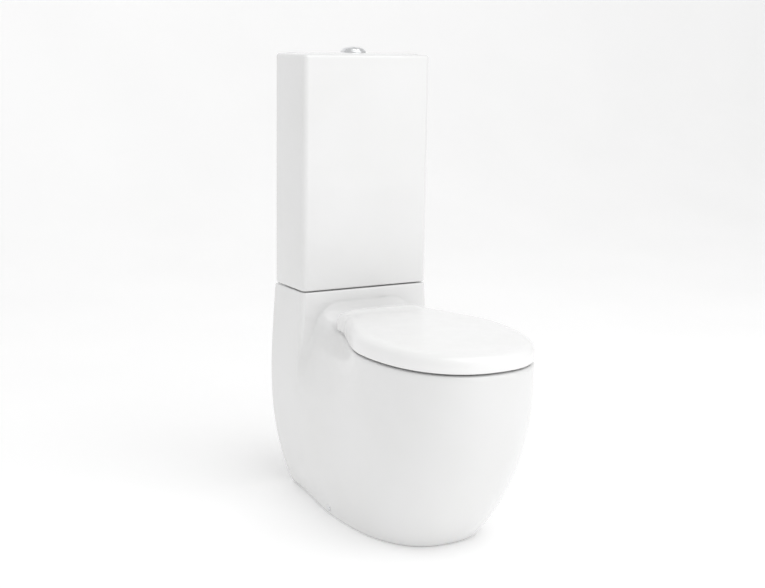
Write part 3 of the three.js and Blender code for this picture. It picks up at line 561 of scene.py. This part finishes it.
def make_pan():
    bm = bmesh.new()
    outside = block_columns + face_columns[:-1] + rim_columns
    grid(bm, len(outside), len(skirt_rows), skirt(outside))
    grid(bm, len(rim_columns) + 1, len(rounding) + len(deck_steps), deck)
    grid(bm, len(bowl_turns), lip_steps + bowl_wall_steps + 1 + len(trap_route), bowl)
    low_steps = spread(0, (window_top - face_low) / (edge_low - face_low), 5)
    high_steps = spread(low_steps[-1], 1, 4)
    for columns, steps in ((block_columns, low_steps), (top_columns, high_steps)):
        grid(bm, len(columns), len(steps), block_side(face_low, edge_low, columns, steps))
    edge = top_columns + front_edge
    grid(bm, len(edge), shelf_edge_steps + 1, shelf_rounding(edge))
    bmesh.ops.remove_doubles(bm, verts=bm.verts[:], dist=weld)
    bmesh.ops.mirror(bm, geom=bm.verts[:] + bm.edges[:] + bm.faces[:], axis="X", merge_dist=weld)
    bmesh.ops.remove_doubles(bm, verts=bm.verts[:], dist=weld)
    for test in (on_block_face, on_shelf):
        bmesh.ops.triangle_fill(bm, edges=outer_edges(bm, test), use_beauty=True)
    bmesh.ops.recalc_face_normals(bm, faces=bm.faces[:])
    return bm


def finish_mesh(bm, name, material, body, slot, *replaced, smooth=35):
    """Turns a bmesh into a finished piece: smooth between its sharp edges, and riding on its body."""
    mesh = bpy.data.meshes.new(name)
    bm.to_mesh(mesh)
    bm.free()
    mesh.materials.append(material)
    for polygon in mesh.polygons:
        polygon.use_smooth = True
    mesh.set_sharp_from_angle(angle=math.radians(smooth))
    piece = bpy.data.objects.new(name, mesh)
    bpy.context.scene.collection.objects.link(piece)
    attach(piece, body)
    if replaced:
        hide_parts(*replaced)
    return piece


pan = finish_mesh(make_pan(), "pan_casting", glaze, "root", "ceramic", "pan")
wall = pan.modifiers.new("cast_wall", "SOLIDIFY")
wall.thickness = ceramic_wall
wall.offset = -1


# ---- Cistern ----
# A tall slab-sided casting with soft edges. Its rim is rebated, so that the lid drops in flush.
def box_mesh(low, high):
    bm = bmesh.new()
    bmesh.ops.create_cube(bm, size=1)
    bmesh.ops.scale(bm, vec=high - low, verts=bm.verts[:])
    bmesh.ops.translate(bm, vec=(low + high) / 2, verts=bm.verts[:])
    return bm


def bevel(bm, edges, offset, segments):
    bmesh.ops.bevel(
        bm, geom=edges, offset=offset, segments=segments, affect="EDGES", profile=0.5, material=-1
    )


def upright_edges(bm):
    return [e for e in bm.edges if abs(e.verts[0].co.z - e.verts[1].co.z) > 1 * MM]


def edges_at(bm, z, tolerance=0.05 * MM):
    return [e for e in bm.edges if all(abs(v.co.z - z) < tolerance for v in e.verts)]


def highest_face(bm):
    level = [f for f in bm.faces if f.normal.z > 0.99]
    return max(level, key=lambda f: (round(f.calc_center_median().z, 5), f.calc_area()))


def step(bm, face, inset, rise):
    """Draws a level face in by inset on every side, and raises or sinks it on a new wall."""
    grown = bmesh.ops.extrude_discrete_faces(bm, faces=[face])["faces"][0]
    low = Vector([min(v.co[axis] for v in grown.verts) for axis in range(3)])
    high = Vector([max(v.co[axis] for v in grown.verts) for axis in range(3)])
    centre = (low + high) / 2
    size = high - low
    shrink = (1 - 2 * inset / size.x, 1 - 2 * inset / size.y, 1)
    bmesh.ops.scale(bm, vec=shrink, verts=grown.verts, space=Matrix.Translation(-centre))
    bmesh.ops.translate(bm, vec=(0, 0, rise), verts=grown.verts)
    return grown


lid_low, lid_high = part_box("cistern_lid")
cistern_corner = 14 * MM
cistern_top_edge = 8 * MM
cistern_bottom_edge = 3.5 * MM
ledge_width = 7 * MM
throat_height = 9 * MM
cistern_floor = 14 * MM


def make_cistern():
    bm = box_mesh(cistern_low, cistern_high)
    bevel(bm, upright_edges(bm), cistern_corner, 8)
    bevel(bm, edges_at(bm, cistern_high.z), cistern_top_edge, 6)
    bevel(bm, edges_at(bm, cistern_low.z), cistern_bottom_edge, 4)
    bm.faces.ensure_lookup_table()
    bm.normal_update()
    ledge = lid_low.z - 0.3 * MM
    rebate = cistern_half_width - lid_high.x - 1 * MM
    top = highest_face(bm)
    floor_drop = cistern_low.z + cistern_floor - ledge
    # In from the rim, down to the lid's ledge, through the throat and down the walls to the floor.
    lip = step(bm, top, rebate - cistern_top_edge - 1 * MM, 0)
    land = step(bm, step(bm, lip, 1 * MM, -1 * MM), 0, ledge - cistern_high.z + 1 * MM)
    throat = step(bm, step(bm, land, ledge_width, 0), 0, -throat_height)
    wide = step(bm, throat, -9 * MM, -7 * MM)
    step(bm, step(bm, wide, 0, floor_drop + 24 * MM), 6 * MM, -8 * MM)
    bmesh.ops.recalc_face_normals(bm, faces=bm.faces[:])
    return bm


finish_mesh(make_cistern(), "cistern_casting", glaze, "root", "ceramic", "cistern")


# ---- Cistern lid ----
# A loose ceramic slab with a soft crown. It sits on the cistern's ledge and carries the push button.
def make_cistern_lid():
    edge = 5 * MM
    side = lid_low.z
    slab_top = cistern_high.z - 0.4 * MM
    bm = box_mesh(Vector((lid_low.x, lid_low.y, side)), Vector((lid_high.x, lid_high.y, slab_top)))
    bevel(bm, upright_edges(bm), 4 * MM, 5)
    bevel(bm, edges_at(bm, slab_top), edge, 5)
    bm.normal_update()
    top = highest_face(bm)
    crown = lid_high.z - slab_top
    for inset, rise in ((3, 0.16), (4, 0.2), (5, 0.2), (6, 0.18), (7, 0.14), (8, 0.09), (9, 0.03)):
        top = step(bm, top, inset * MM, rise * crown)
    bmesh.ops.recalc_face_normals(bm, faces=bm.faces[:])
    return bm


finish_mesh(make_cistern_lid(), "cistern_lid_slab", glaze, "cistern_cover", "ceramic", "cistern_lid")


# ---- Lid ----
# A thick-looking wrap-over lid in moulded thermoset: a pillowed top over a skirt that hides the seat.
# Its back runs low between the hinges, notched to swing past them.
def make_seat_plastic():
    material, tree, principled = shader("seat_thermoset", IOR=1.5, Coat_Weight=0.25, Coat_Roughness=0.06)
    drift(tree, principled.inputs["Base Color"], noise(tree, 7), (0.885, 0.885, 0.88), (0.9, 0.9, 0.9))
    drift(tree, principled.inputs["Roughness"], noise(tree, 30), 0.16, 0.23)
    relief(tree, principled, noise(tree, 60, 2.0), 0.03, 0.001)
    return material


seat_plastic = make_seat_plastic()

hinge_axis = Vector(next(j for j in frame["joints"] if j["name"] == "seat_hinge")["pos_m"])
hinge_depth = wall_y - hinge_axis.y
lid_box_low, lid_box_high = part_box("lid")
lid_back = wall_y - lid_box_high.y
skirt_bottom = lid_box_low.z
lid_edge_height = 40 * MM
lid_rear_rise = 8 * MM
lid_shell = 4.5 * MM
lid_corner = 26 * MM
lid_pillow = 38 * MM  # how far in the rounding of the top's edge reaches
lid_pillow_power = 3.4
lid_crown = 1.2 * MM
fine_weld = 0.02 * MM
swing_radius = 31 * MM  # the back's corners keep within this of the hinge
tail_half_width = 97 * MM
tail_bottom = rim_height + 19 * MM
tail_fade = 6 * MM

seat_back_columns = [("back", t) for t in spread(0, 1, 10)]
seat_corner_columns = [("corner", a) for a in spread(-math.pi / 2, 0, 12, first=False)]
seat_side_columns = [("side", t) for t in spread(0, 1, 22, first=False)]
seat_front_columns = [("front", a) for a in spread(0, math.pi / 2, 36, first=False)]
seat_columns = seat_back_columns + seat_corner_columns + seat_side_columns + seat_front_columns


def seat_plan(column, inset, back, corner):
    """A point of the seat's outline, drawn in by inset, as (half-width, depth)."""
    kind, value = column
    edge = neck_half_width - inset - corner
    start = back + inset + corner
    if kind == "back":
        return edge * value, back + inset
    if kind == "corner":
        return edge + corner * math.cos(value), start + corner * math.sin(value)
    if kind == "side":
        depth = mix(start, widest_depth, value)
        blend = ease(clamp01(value * 4))
        return mix(neck_half_width, neck_width(depth), blend) - inset, depth
    across, along = superellipse(value, rim_power)
    reach = projection - inset - widest_depth
    return (rim_half_width - inset) * across, widest_depth + reach * along


def lid_top(depth):
    back = clamp01((projection - depth) / (projection - lid_back))
    return rim_height + lid_edge_height + lid_rear_rise * back


def lid_bottom(half_width, depth):
    """The skirt's lower edge, which rises round the back to clear the deck and the seat as it swings."""
    behind = hinge_depth - depth
    if behind <= 0:
        return skirt_bottom
    swing = hinge_axis.z - math.sqrt(max(0.0, swing_radius**2 - behind**2))
    tail = mix(tail_bottom, skirt_bottom, ease(clamp01((half_width - tail_half_width) / tail_fade)))
    return max(skirt_bottom, swing, tail)


spine_end = 110 * MM  # the top's middle line stops this far from the back and the front
top_steps = 7
pillow_turns = spread(0, math.pi / 2, 16)
# The hem's rounded foot, from the outside in, as inset and rise in millimetres.
hem = [(0.45, 1.2), (1.5, 0.1), (3.1, 0.1), (4.2, 1.3)]


def lid_surface(i, j):
    column = seat_columns[i]
    edge_width, edge_depth = seat_plan(column, 0, lid_back, lid_corner)
    bottom = lid_bottom(edge_width, edge_depth)
    forward = clamp01((edge_depth - lid_back) / (projection - lid_back))
    spine = mix(lid_back + spine_end, projection - spine_end, forward)

    def flat(step, inset, sink, corner):
        half_width, depth = seat_plan(column, inset, lid_back, corner)
        t = step / top_steps
        half_width, depth = half_width * (1 - t), mix(depth, spine, t)
        return at(half_width, depth, lid_top(depth) - sink + lid_crown * (1 - (1 - t) ** 2))

    # The same pillowed edge runs all round. Where the hem rises, the edge starts further up its curve.
    low = skirt_bottom + 4 * MM

    def first_turn(sink):
        share = clamp01((bottom - skirt_bottom) / (lid_top(edge_depth) - sink - low))
        return math.asin(share ** (lid_pillow_power / 2))

    def edge(turn, start, sink, corner):
        turn = mix(first_turn(sink), math.pi / 2, turn / (math.pi / 2))
        across, along = superellipse(turn, lid_pillow_power)
        inset = start + (lid_pillow - start) * (1 - across)
        half_width, depth = seat_plan(column, inset, lid_back, corner)
        return at(half_width, depth, mix(low, lid_top(depth) - sink, along))

    if j < top_steps:
        return flat(top_steps - j, lid_pillow, 0, lid_corner)
    j -= top_steps
    if j < len(pillow_turns):
        return edge(pillow_turns[-1 - j], 0, 0, lid_corner)
    j -= len(pillow_turns)
    inner_corner = lid_corner - lid_shell
    if j < len(hem):
        inset, rise = hem[j]
        across, _ = superellipse(first_turn(0), lid_pillow_power)
        drawn_in = lid_pillow * (1 - across) + inset * MM
        half_width, depth = seat_plan(column, drawn_in, lid_back, lid_corner - inset * MM)
        return at(half_width, depth, bottom + rise * MM)
    j -= len(hem)
    if j < len(pillow_turns):
        return edge(pillow_turns[j], lid_shell, lid_shell, inner_corner)
    j -= len(pillow_turns)
    return flat(j + 1, lid_pillow, lid_shell, inner_corner)


def cut(bm, cutters):
    """Cuts closed meshes out of a bmesh with an exact boolean."""
    made = []
    for name, source in (("work", bm), ("tool", cutters)):
        mesh = bpy.data.meshes.new(name)
        source.to_mesh(mesh)
        source.free()
        made.append(bpy.data.objects.new(name, mesh))
        bpy.context.scene.collection.objects.link(made[-1])
    work, tool = made
    difference = work.modifiers.new("cut", "BOOLEAN")
    difference.operation = "DIFFERENCE"
    difference.solver = "EXACT"
    difference.use_self = True
    difference.object = tool
    bpy.context.view_layer.update()
    evaluated = work.evaluated_get(bpy.context.evaluated_depsgraph_get())
    result = bmesh.new()
    result.from_mesh(evaluated.to_mesh())
    evaluated.to_mesh_clear()
    for thing in made:
        mesh = thing.data
        bpy.data.objects.remove(thing)
        bpy.data.meshes.remove(mesh)
    return result


def add_box(bm, x0, x1, depth0, depth1, z0, z1):
    made = bmesh.ops.create_cube(bm, size=1)["verts"]
    bmesh.ops.scale(bm, vec=(abs(x1 - x0), depth1 - depth0, z1 - z0), verts=made)
    middle = ((x0 + x1) / 2, wall_y - (depth0 + depth1) / 2, (z0 + z1) / 2)
    bmesh.ops.translate(bm, vec=middle, verts=made)


def add_rod(bm, radius, start, end, segments=40):
    """A cylinder between two points."""
    start, end = Vector(start), Vector(end)
    along = end - start
    turn = along.to_track_quat("Z", "Y").to_matrix().to_4x4()
    return bmesh.ops.create_cone(
        bm,
        cap_ends=True,
        segments=segments,
        radius1=radius,
        radius2=radius,
        depth=along.length,
        matrix=Matrix.Translation((start + end) / 2) @ turn,
    )["verts"]


def make_lid():
    bm = bmesh.new()
    rows = 2 * (top_steps + len(pillow_turns)) + len(hem)
    grid(bm, len(seat_columns), rows, lid_surface)
    bmesh.ops.remove_doubles(bm, verts=bm.verts[:], dist=fine_weld)
    bmesh.ops.mirror(bm, geom=bm.verts[:] + bm.edges[:] + bm.faces[:], axis="X", merge_dist=fine_weld)
    bmesh.ops.remove_doubles(bm, verts=bm.verts[:], dist=fine_weld)
    bmesh.ops.recalc_face_normals(bm, faces=bm.faces[:])
    # Each notch is tall over the post, and lower over the barrel outside it.
    notches = bmesh.new()
    bottom = tail_bottom - 2 * MM
    notch_sizes = ((-12.2, 12.2, -6, 7, 0, 11), (12, 21, -6.5, 7.5, -1, 4))
    for side in (-1, 1):
        for near, far, back, front, low, high in notch_sizes:
            x0, x1 = [side * (hinge_offset + reach * MM) for reach in (near, far)]
            depth0, depth1 = lid_back + back * MM, hinge_depth - front * MM
            add_box(notches, x0, x1, depth0, depth1, bottom + low * MM, hinge_axis.z + high * MM)
    return cut(bm, notches)


finish_mesh(make_lid(), "seat_lid", seat_plastic, "lid", "seat_plastic", "lid")


# ---- Seat ring ----
# A moulded ring with a crowned top and a soft inner edge, hidden under the lid when that is down.
ring_low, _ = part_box("seat_ring")
ring_inset = 9 * MM
ring_back = cistern_depth + 94 * MM
ring_corner = 20 * MM
ring_thickness = 18 * MM
ring_hole_half_width = 105 * MM
ring_hole_half_length = 165 * MM
ring_hole_depth = projection - 225 * MM
ring_hole_power = 2.2
ring_section_power = 2.9
ring_turns = 32


def ring_surface(i, j):
    half_width, depth = seat_plan(seat_columns[i], ring_inset, ring_back - ring_inset, ring_corner)
    outer = Vector((half_width, depth))
    turn = mix(-math.pi / 2, math.pi / 2, i / (len(seat_columns) - 1))
    across, along = superellipse(turn, ring_hole_power)
    inner = Vector((ring_hole_half_width * across, ring_hole_depth + ring_hole_half_length * along))
    over = j / ring_turns * 2 * math.pi
    share, height = superellipse(over, ring_section_power)
    # The underside is flatter than the top.
    lift = height if height > 0 else -abs(height) ** 0.6
    point = inner.lerp(outer, 0.5 + 0.5 * share)
    return at(point.x, point.y, ring_low.z + ring_thickness / 2 * (1 + lift))


def make_seat_ring():
    bm = bmesh.new()
    grid(bm, len(seat_columns), ring_turns + 1, ring_surface)
    bmesh.ops.remove_doubles(bm, verts=bm.verts[:], dist=fine_weld)
    bmesh.ops.mirror(bm, geom=bm.verts[:] + bm.edges[:] + bm.faces[:], axis="X", merge_dist=fine_weld)
    bmesh.ops.remove_doubles(bm, verts=bm.verts[:], dist=fine_weld)
    bmesh.ops.recalc_face_normals(bm, faces=bm.faces[:])
    return bm


finish_mesh(make_seat_ring(), "seat_ring_moulding", seat_plastic, "seat", "seat_plastic", "seat_ring")


# ---- Hinge knuckles ----
# Barrels moulded on the seat and on the lid, side by side on one steel pin at each hinge.
knuckle_radius = 8 * MM
outer_span = (hinge_offset + 9 * MM, hinge_offset + 20 * MM)
inner_span = (18 * MM, hinge_offset - 9 * MM)


def make_knuckles(spans, depth0, depth1, z0, z1):
    bm = bmesh.new()
    for x0, x1 in spans:
        ends = [(x, hinge_axis.y, hinge_axis.z) for x in (x0, x1)]
        barrel = add_rod(bm, knuckle_radius, *ends)
        edges = {edge for vert in barrel for edge in vert.link_edges}
        rims = [e for e in edges if abs(e.verts[0].co.x - e.verts[1].co.x) < 0.1 * MM]
        bevel(bm, rims, 1 * MM, 2)
        add_box(bm, x0 + 0.8 * MM, x1 - 0.8 * MM, depth0, depth1, z0, z1)
    return bm


seat_arms = make_knuckles(
    [outer_span, (-inner_span[1], -inner_span[0])],
    hinge_depth,
    ring_back + 14 * MM,
    ring_low.z + 8 * MM,
    ring_low.z + 22 * MM,
)
finish_mesh(seat_arms, "seat_hinge_barrels", seat_plastic, "seat", "seat_plastic")
lid_arms = make_knuckles(
    [(-outer_span[1], -outer_span[0]), inner_span],
    hinge_depth - 5 * MM,
    hinge_depth + 5 * MM,
    hinge_axis.z,
    lid_top(hinge_depth) - 4 * MM,
)
finish_mesh(lid_arms, "lid_hinge_barrels", seat_plastic, "lid", "seat_plastic")


# ---- Chrome ----
# Bright plated brass and zinc, with the faintest smear of handling.
def make_chrome():
    material, tree, principled = shader("bright_chrome", Metallic=1.0, Coat_Weight=0.0)
    drift(tree, principled.inputs["Base Color"], noise(tree, 90), (0.74, 0.75, 0.765), (0.8, 0.81, 0.82))
    drift(tree, principled.inputs["Roughness"], noise(tree, 220, 3.0), 0.05, 0.12)
    return material


chrome = make_chrome()


def lathe(bm, profile, centre, direction=(0, 0, 1), steps=64):
    """Spins a profile of (radius, height) pairs round an axis, and closes it."""
    verts = [bm.verts.new((radius, 0, height)) for radius, height in profile]
    edges = [bm.edges.new(pair) for pair in zip(verts, verts[1:])]
    bmesh.ops.spin(
        bm,
        geom=verts + edges,
        cent=(0, 0, 0),
        axis=(0, 0, 1),
        angle=2 * math.pi,
        steps=steps,
        use_merge=True,
    )
    bmesh.ops.remove_doubles(bm, verts=bm.verts[:], dist=0.01 * MM)
    place = Matrix.Translation(centre) @ Vector(direction).to_track_quat("Z", "Y").to_matrix().to_4x4()
    bmesh.ops.transform(bm, matrix=place, verts=bm.verts[:])
    bmesh.ops.recalc_face_normals(bm, faces=bm.faces[:])


# ---- Push button ----
# Two plated caps share one low dome, and sink into a turned chrome collar in the cistern lid.
button_low, button_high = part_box("full_flush_button")
housing_low, housing_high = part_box("button_housing")
button_centre = Vector((0, (housing_low.y + housing_high.y) / 2, 0))
button_radius = button_high.x
button_wall = 2 * MM
button_drum_top = button_high.z - 7.5 * MM
split = button_low.x - 0.5 * MM  # middle of the gap between the two caps
split_gap = 0.35 * MM


def dome(radius, drum_top, crest, steps=14):
    """A quarter-oval dome over a straight drum, from its edge to the axis."""
    turns = [math.pi / 2 * i / steps for i in range(steps + 1)]
    return [(radius * math.cos(t), mix(drum_top, crest, math.sin(t))) for t in turns[:-1]] + [(0, crest)]


def make_button(keep_right):
    bm = bmesh.new()
    outer = dome(button_radius, button_drum_top, button_high.z)
    inner = dome(button_radius - button_wall, button_drum_top - button_wall, button_high.z - button_wall)
    profile = inner[::-1] + [
        (button_radius - button_wall, button_low.z),
        (button_radius, button_low.z),
    ] + outer
    lathe(bm, profile, button_centre, steps=96)
    clear = split + (split_gap if keep_right else -split_gap)
    kept = bm.verts[:] + bm.edges[:] + bm.faces[:]
    bmesh.ops.bisect_plane(
        bm,
        geom=kept,
        plane_co=(clear, 0, 0),
        plane_no=(1, 0, 0),
        clear_inner=keep_right,
        clear_outer=not keep_right,
    )
    open_edges = [e for e in bm.edges if e.is_boundary]
    bmesh.ops.triangle_fill(bm, edges=open_edges, use_beauty=True)
    bmesh.ops.recalc_face_normals(bm, faces=bm.faces[:])
    return bm


finish_mesh(make_button(True), "full_flush_cap", chrome, "full_button", "chrome", "full_flush_button")
finish_mesh(make_button(False), "half_flush_cap", chrome, "half_button", "chrome", "half_flush_button")


def make_button_collar():
    bm = bmesh.new()
    bore = button_radius + 0.4 * MM
    drum = bore + 1.4 * MM
    seat = lid_high.z + 0.3 * MM
    profile = [
        (0, housing_low.z),
        (drum, housing_low.z),
        (drum, seat),
        (drum + 2.2 * MM, seat),
        (drum + 2.2 * MM, seat + 0.9 * MM),
        (drum + 1.9 * MM, seat + 2.2 * MM),
        (drum + 1.1 * MM, seat + 3.4 * MM),
        (drum, seat + 4.2 * MM),
        (drum - 0.7 * MM, housing_high.z),
        (bore, housing_high.z - 0.6 * MM),
        (bore, housing_low.z + 3 * MM),
        (0, housing_low.z + 3 * MM),
    ]
    lathe(bm, profile, button_centre, steps=96)
    holes = bmesh.new()
    for rod in ("full_flush_rod", "half_flush_rod"):
        low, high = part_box(rod)
        centre = (low + high) / 2
        start = (centre.x, centre.y, housing_low.z - 2 * MM)
        add_rod(holes, (high.x - low.x) / 2 + 0.4 * MM, start, (centre.x, centre.y, housing_low.z + 5 * MM))
    return cut(bm, holes)


finish_mesh(make_button_collar(), "button_collar", chrome, "cistern_cover", "chrome", "button_housing")


# ---- Side floor fixings ----
# A domed chrome cap hides the screw at each side of the foot. Its seat, a spot ground in the glaze, is not cut in
# the pan here.
def make_side_cap(side):
    low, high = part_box("side_cap_right" if side > 0 else "side_cap_left")
    middle = (low + high) / 2
    radius = (high.z - low.z) / 2
    height = high.x - low.x
    bm = bmesh.new()
    profile = [(0, 0), (radius, 0), (radius, 0.45 * height), (0.95 * radius, 0.62 * height)]
    crown = ((0.82, 0.8), (0.55, 0.93), (0.28, 0.985))
    profile += [(across * radius, up * height) for across, up in crown]
    profile += [(0, height)]
    foot = Vector((low.x if side > 0 else high.x, middle.y, middle.z))
    lathe(bm, profile, foot, (side, 0, 0), steps=48)
    return bm


for word, side in (("left", -1), ("right", 1)):
    finish_mesh(make_side_cap(side), f"side_cover_cap_{word}", chrome, "root", "chrome", f"side_cap_{word}")


# ---- Small parts ----
# Fixings, hinges and valves keep their working shapes, each in its own finish.
def make_steel():
    material, tree, principled = shader("brushed_steel", Metallic=1.0)
    drift(tree, principled.inputs["Base Color"], noise(tree, 40), (0.6, 0.61, 0.63), (0.68, 0.69, 0.7))
    drift(tree, principled.inputs["Roughness"], noise(tree, 300, 3.0, (0.15, 1, 1)), 0.25, 0.42)
    relief(tree, principled, noise(tree, 900, 2.0, (0.08, 1, 1)), 0.08, 0.0002)
    return material


def make_brass():
    material, tree, principled = shader("machined_brass", Metallic=1.0)
    drift(tree, principled.inputs["Base Color"], noise(tree, 60), (0.62, 0.47, 0.22), (0.72, 0.57, 0.3))
    drift(tree, principled.inputs["Roughness"], noise(tree, 200, 3.0), 0.24, 0.4)
    return material


def make_rubber():
    material, tree, principled = shader("black_rubber", IOR=1.45)
    dark, pale = (0.03, 0.03, 0.031), (0.055, 0.055, 0.056)
    drift(tree, principled.inputs["Base Color"], noise(tree, 50), dark, pale)
    drift(tree, principled.inputs["Roughness"], noise(tree, 120), 0.6, 0.8)
    relief(tree, principled, noise(tree, 1200, 2.0), 0.2, 0.0002)
    return material


def make_moulding(name, low, high):
    material, tree, principled = shader(name, IOR=1.5)
    drift(tree, principled.inputs["Base Color"], noise(tree, 30), low, high)
    drift(tree, principled.inputs["Roughness"], noise(tree, 150), 0.34, 0.48)
    relief(tree, principled, noise(tree, 1500, 2.0), 0.12, 0.0001)
    return material


finishes = {
    "ceramic": glaze,
    "seat_plastic": seat_plastic,
    "chrome": chrome,
    "steel": make_steel(),
    "brass": make_brass(),
    "rubber": make_rubber(),
    "white_plastic": make_moulding("white_polymer", (0.78, 0.78, 0.77), (0.84, 0.84, 0.835)),
    "grey_plastic": make_moulding("grey_polymer", (0.4, 0.42, 0.44), (0.48, 0.5, 0.52)),
}
for part in frame["record"]["subparts"]:
    node = frame["nodes"][part["node"]]
    node.data.materials.clear()
    node.data.materials.append(finishes[part["material_slot"]])


# ---- Floor and light ----
# A plain pale floor that runs up into a plain backdrop, under large soft lights.
floor_reach = 9.0
backdrop_shift = -4.0  # brings the back edge nearer before it turns up
backdrop_height = 7.0
sweep_radius = 2.0


def make_floor():
    bm = bmesh.new()
    bmesh.ops.create_grid(bm, x_segments=1, y_segments=1, size=floor_reach)
    back = [e for e in bm.edges if all(v.co.y > 0.9 * floor_reach for v in e.verts)]
    bmesh.ops.translate(bm, vec=(0, backdrop_shift, 0), verts=list({v for e in back for v in e.verts}))
    rise = bmesh.ops.extrude_edge_only(bm, edges=back)
    raised = [g for g in rise["geom"] if isinstance(g, bmesh.types.BMVert)]
    bmesh.ops.translate(bm, vec=(0, 0, backdrop_height), verts=raised)
    bevel(bm, back, sweep_radius, 16)
    mesh = bpy.data.meshes.new("studio_floor")
    bm.to_mesh(mesh)
    bm.free()
    for polygon in mesh.polygons:
        polygon.use_smooth = True
    material, tree, principled = shader(
        "studio_white", Roughness=0.9, Emission_Color=(1, 1, 1, 1), Emission_Strength=0.13
    )
    drift(tree, principled.inputs["Base Color"], noise(tree, 2), (0.95, 0.95, 0.95), (0.97, 0.97, 0.97))
    mesh.materials.append(material)
    floor = bpy.data.objects.new("studio_floor", mesh)
    bpy.context.scene.collection.objects.link(floor)


make_floor()


def softbox(name, place, target, size, power):
    light = bpy.data.lights.new(name, "AREA")
    light.shape = "RECTANGLE"
    light.size, light.size_y = size
    light.energy = power
    lamp = bpy.data.objects.new(name, light)
    lamp.location = place
    lamp.rotation_euler = (Vector(target) - Vector(place)).to_track_quat("-Z", "Y").to_euler()
    bpy.context.scene.collection.objects.link(lamp)


softbox("overhead", (0.4, -1.6, 3.4), (0, 0, 0.4), (3.6, 3.6), 48)
softbox("front_right", (1.8, -3.8, 1.0), (0, 0, 0.5), (5.0, 3.6), 26)

world = bpy.data.worlds.new("studio")
world.use_nodes = True
world.node_tree.nodes["Background"].inputs["Color"].default_value = (1, 1, 1, 1)
world.node_tree.nodes["Background"].inputs["Strength"].default_value = 0.7
bpy.context.scene.world = world
bpy.context.scene.view_settings.view_transform = "Standard"
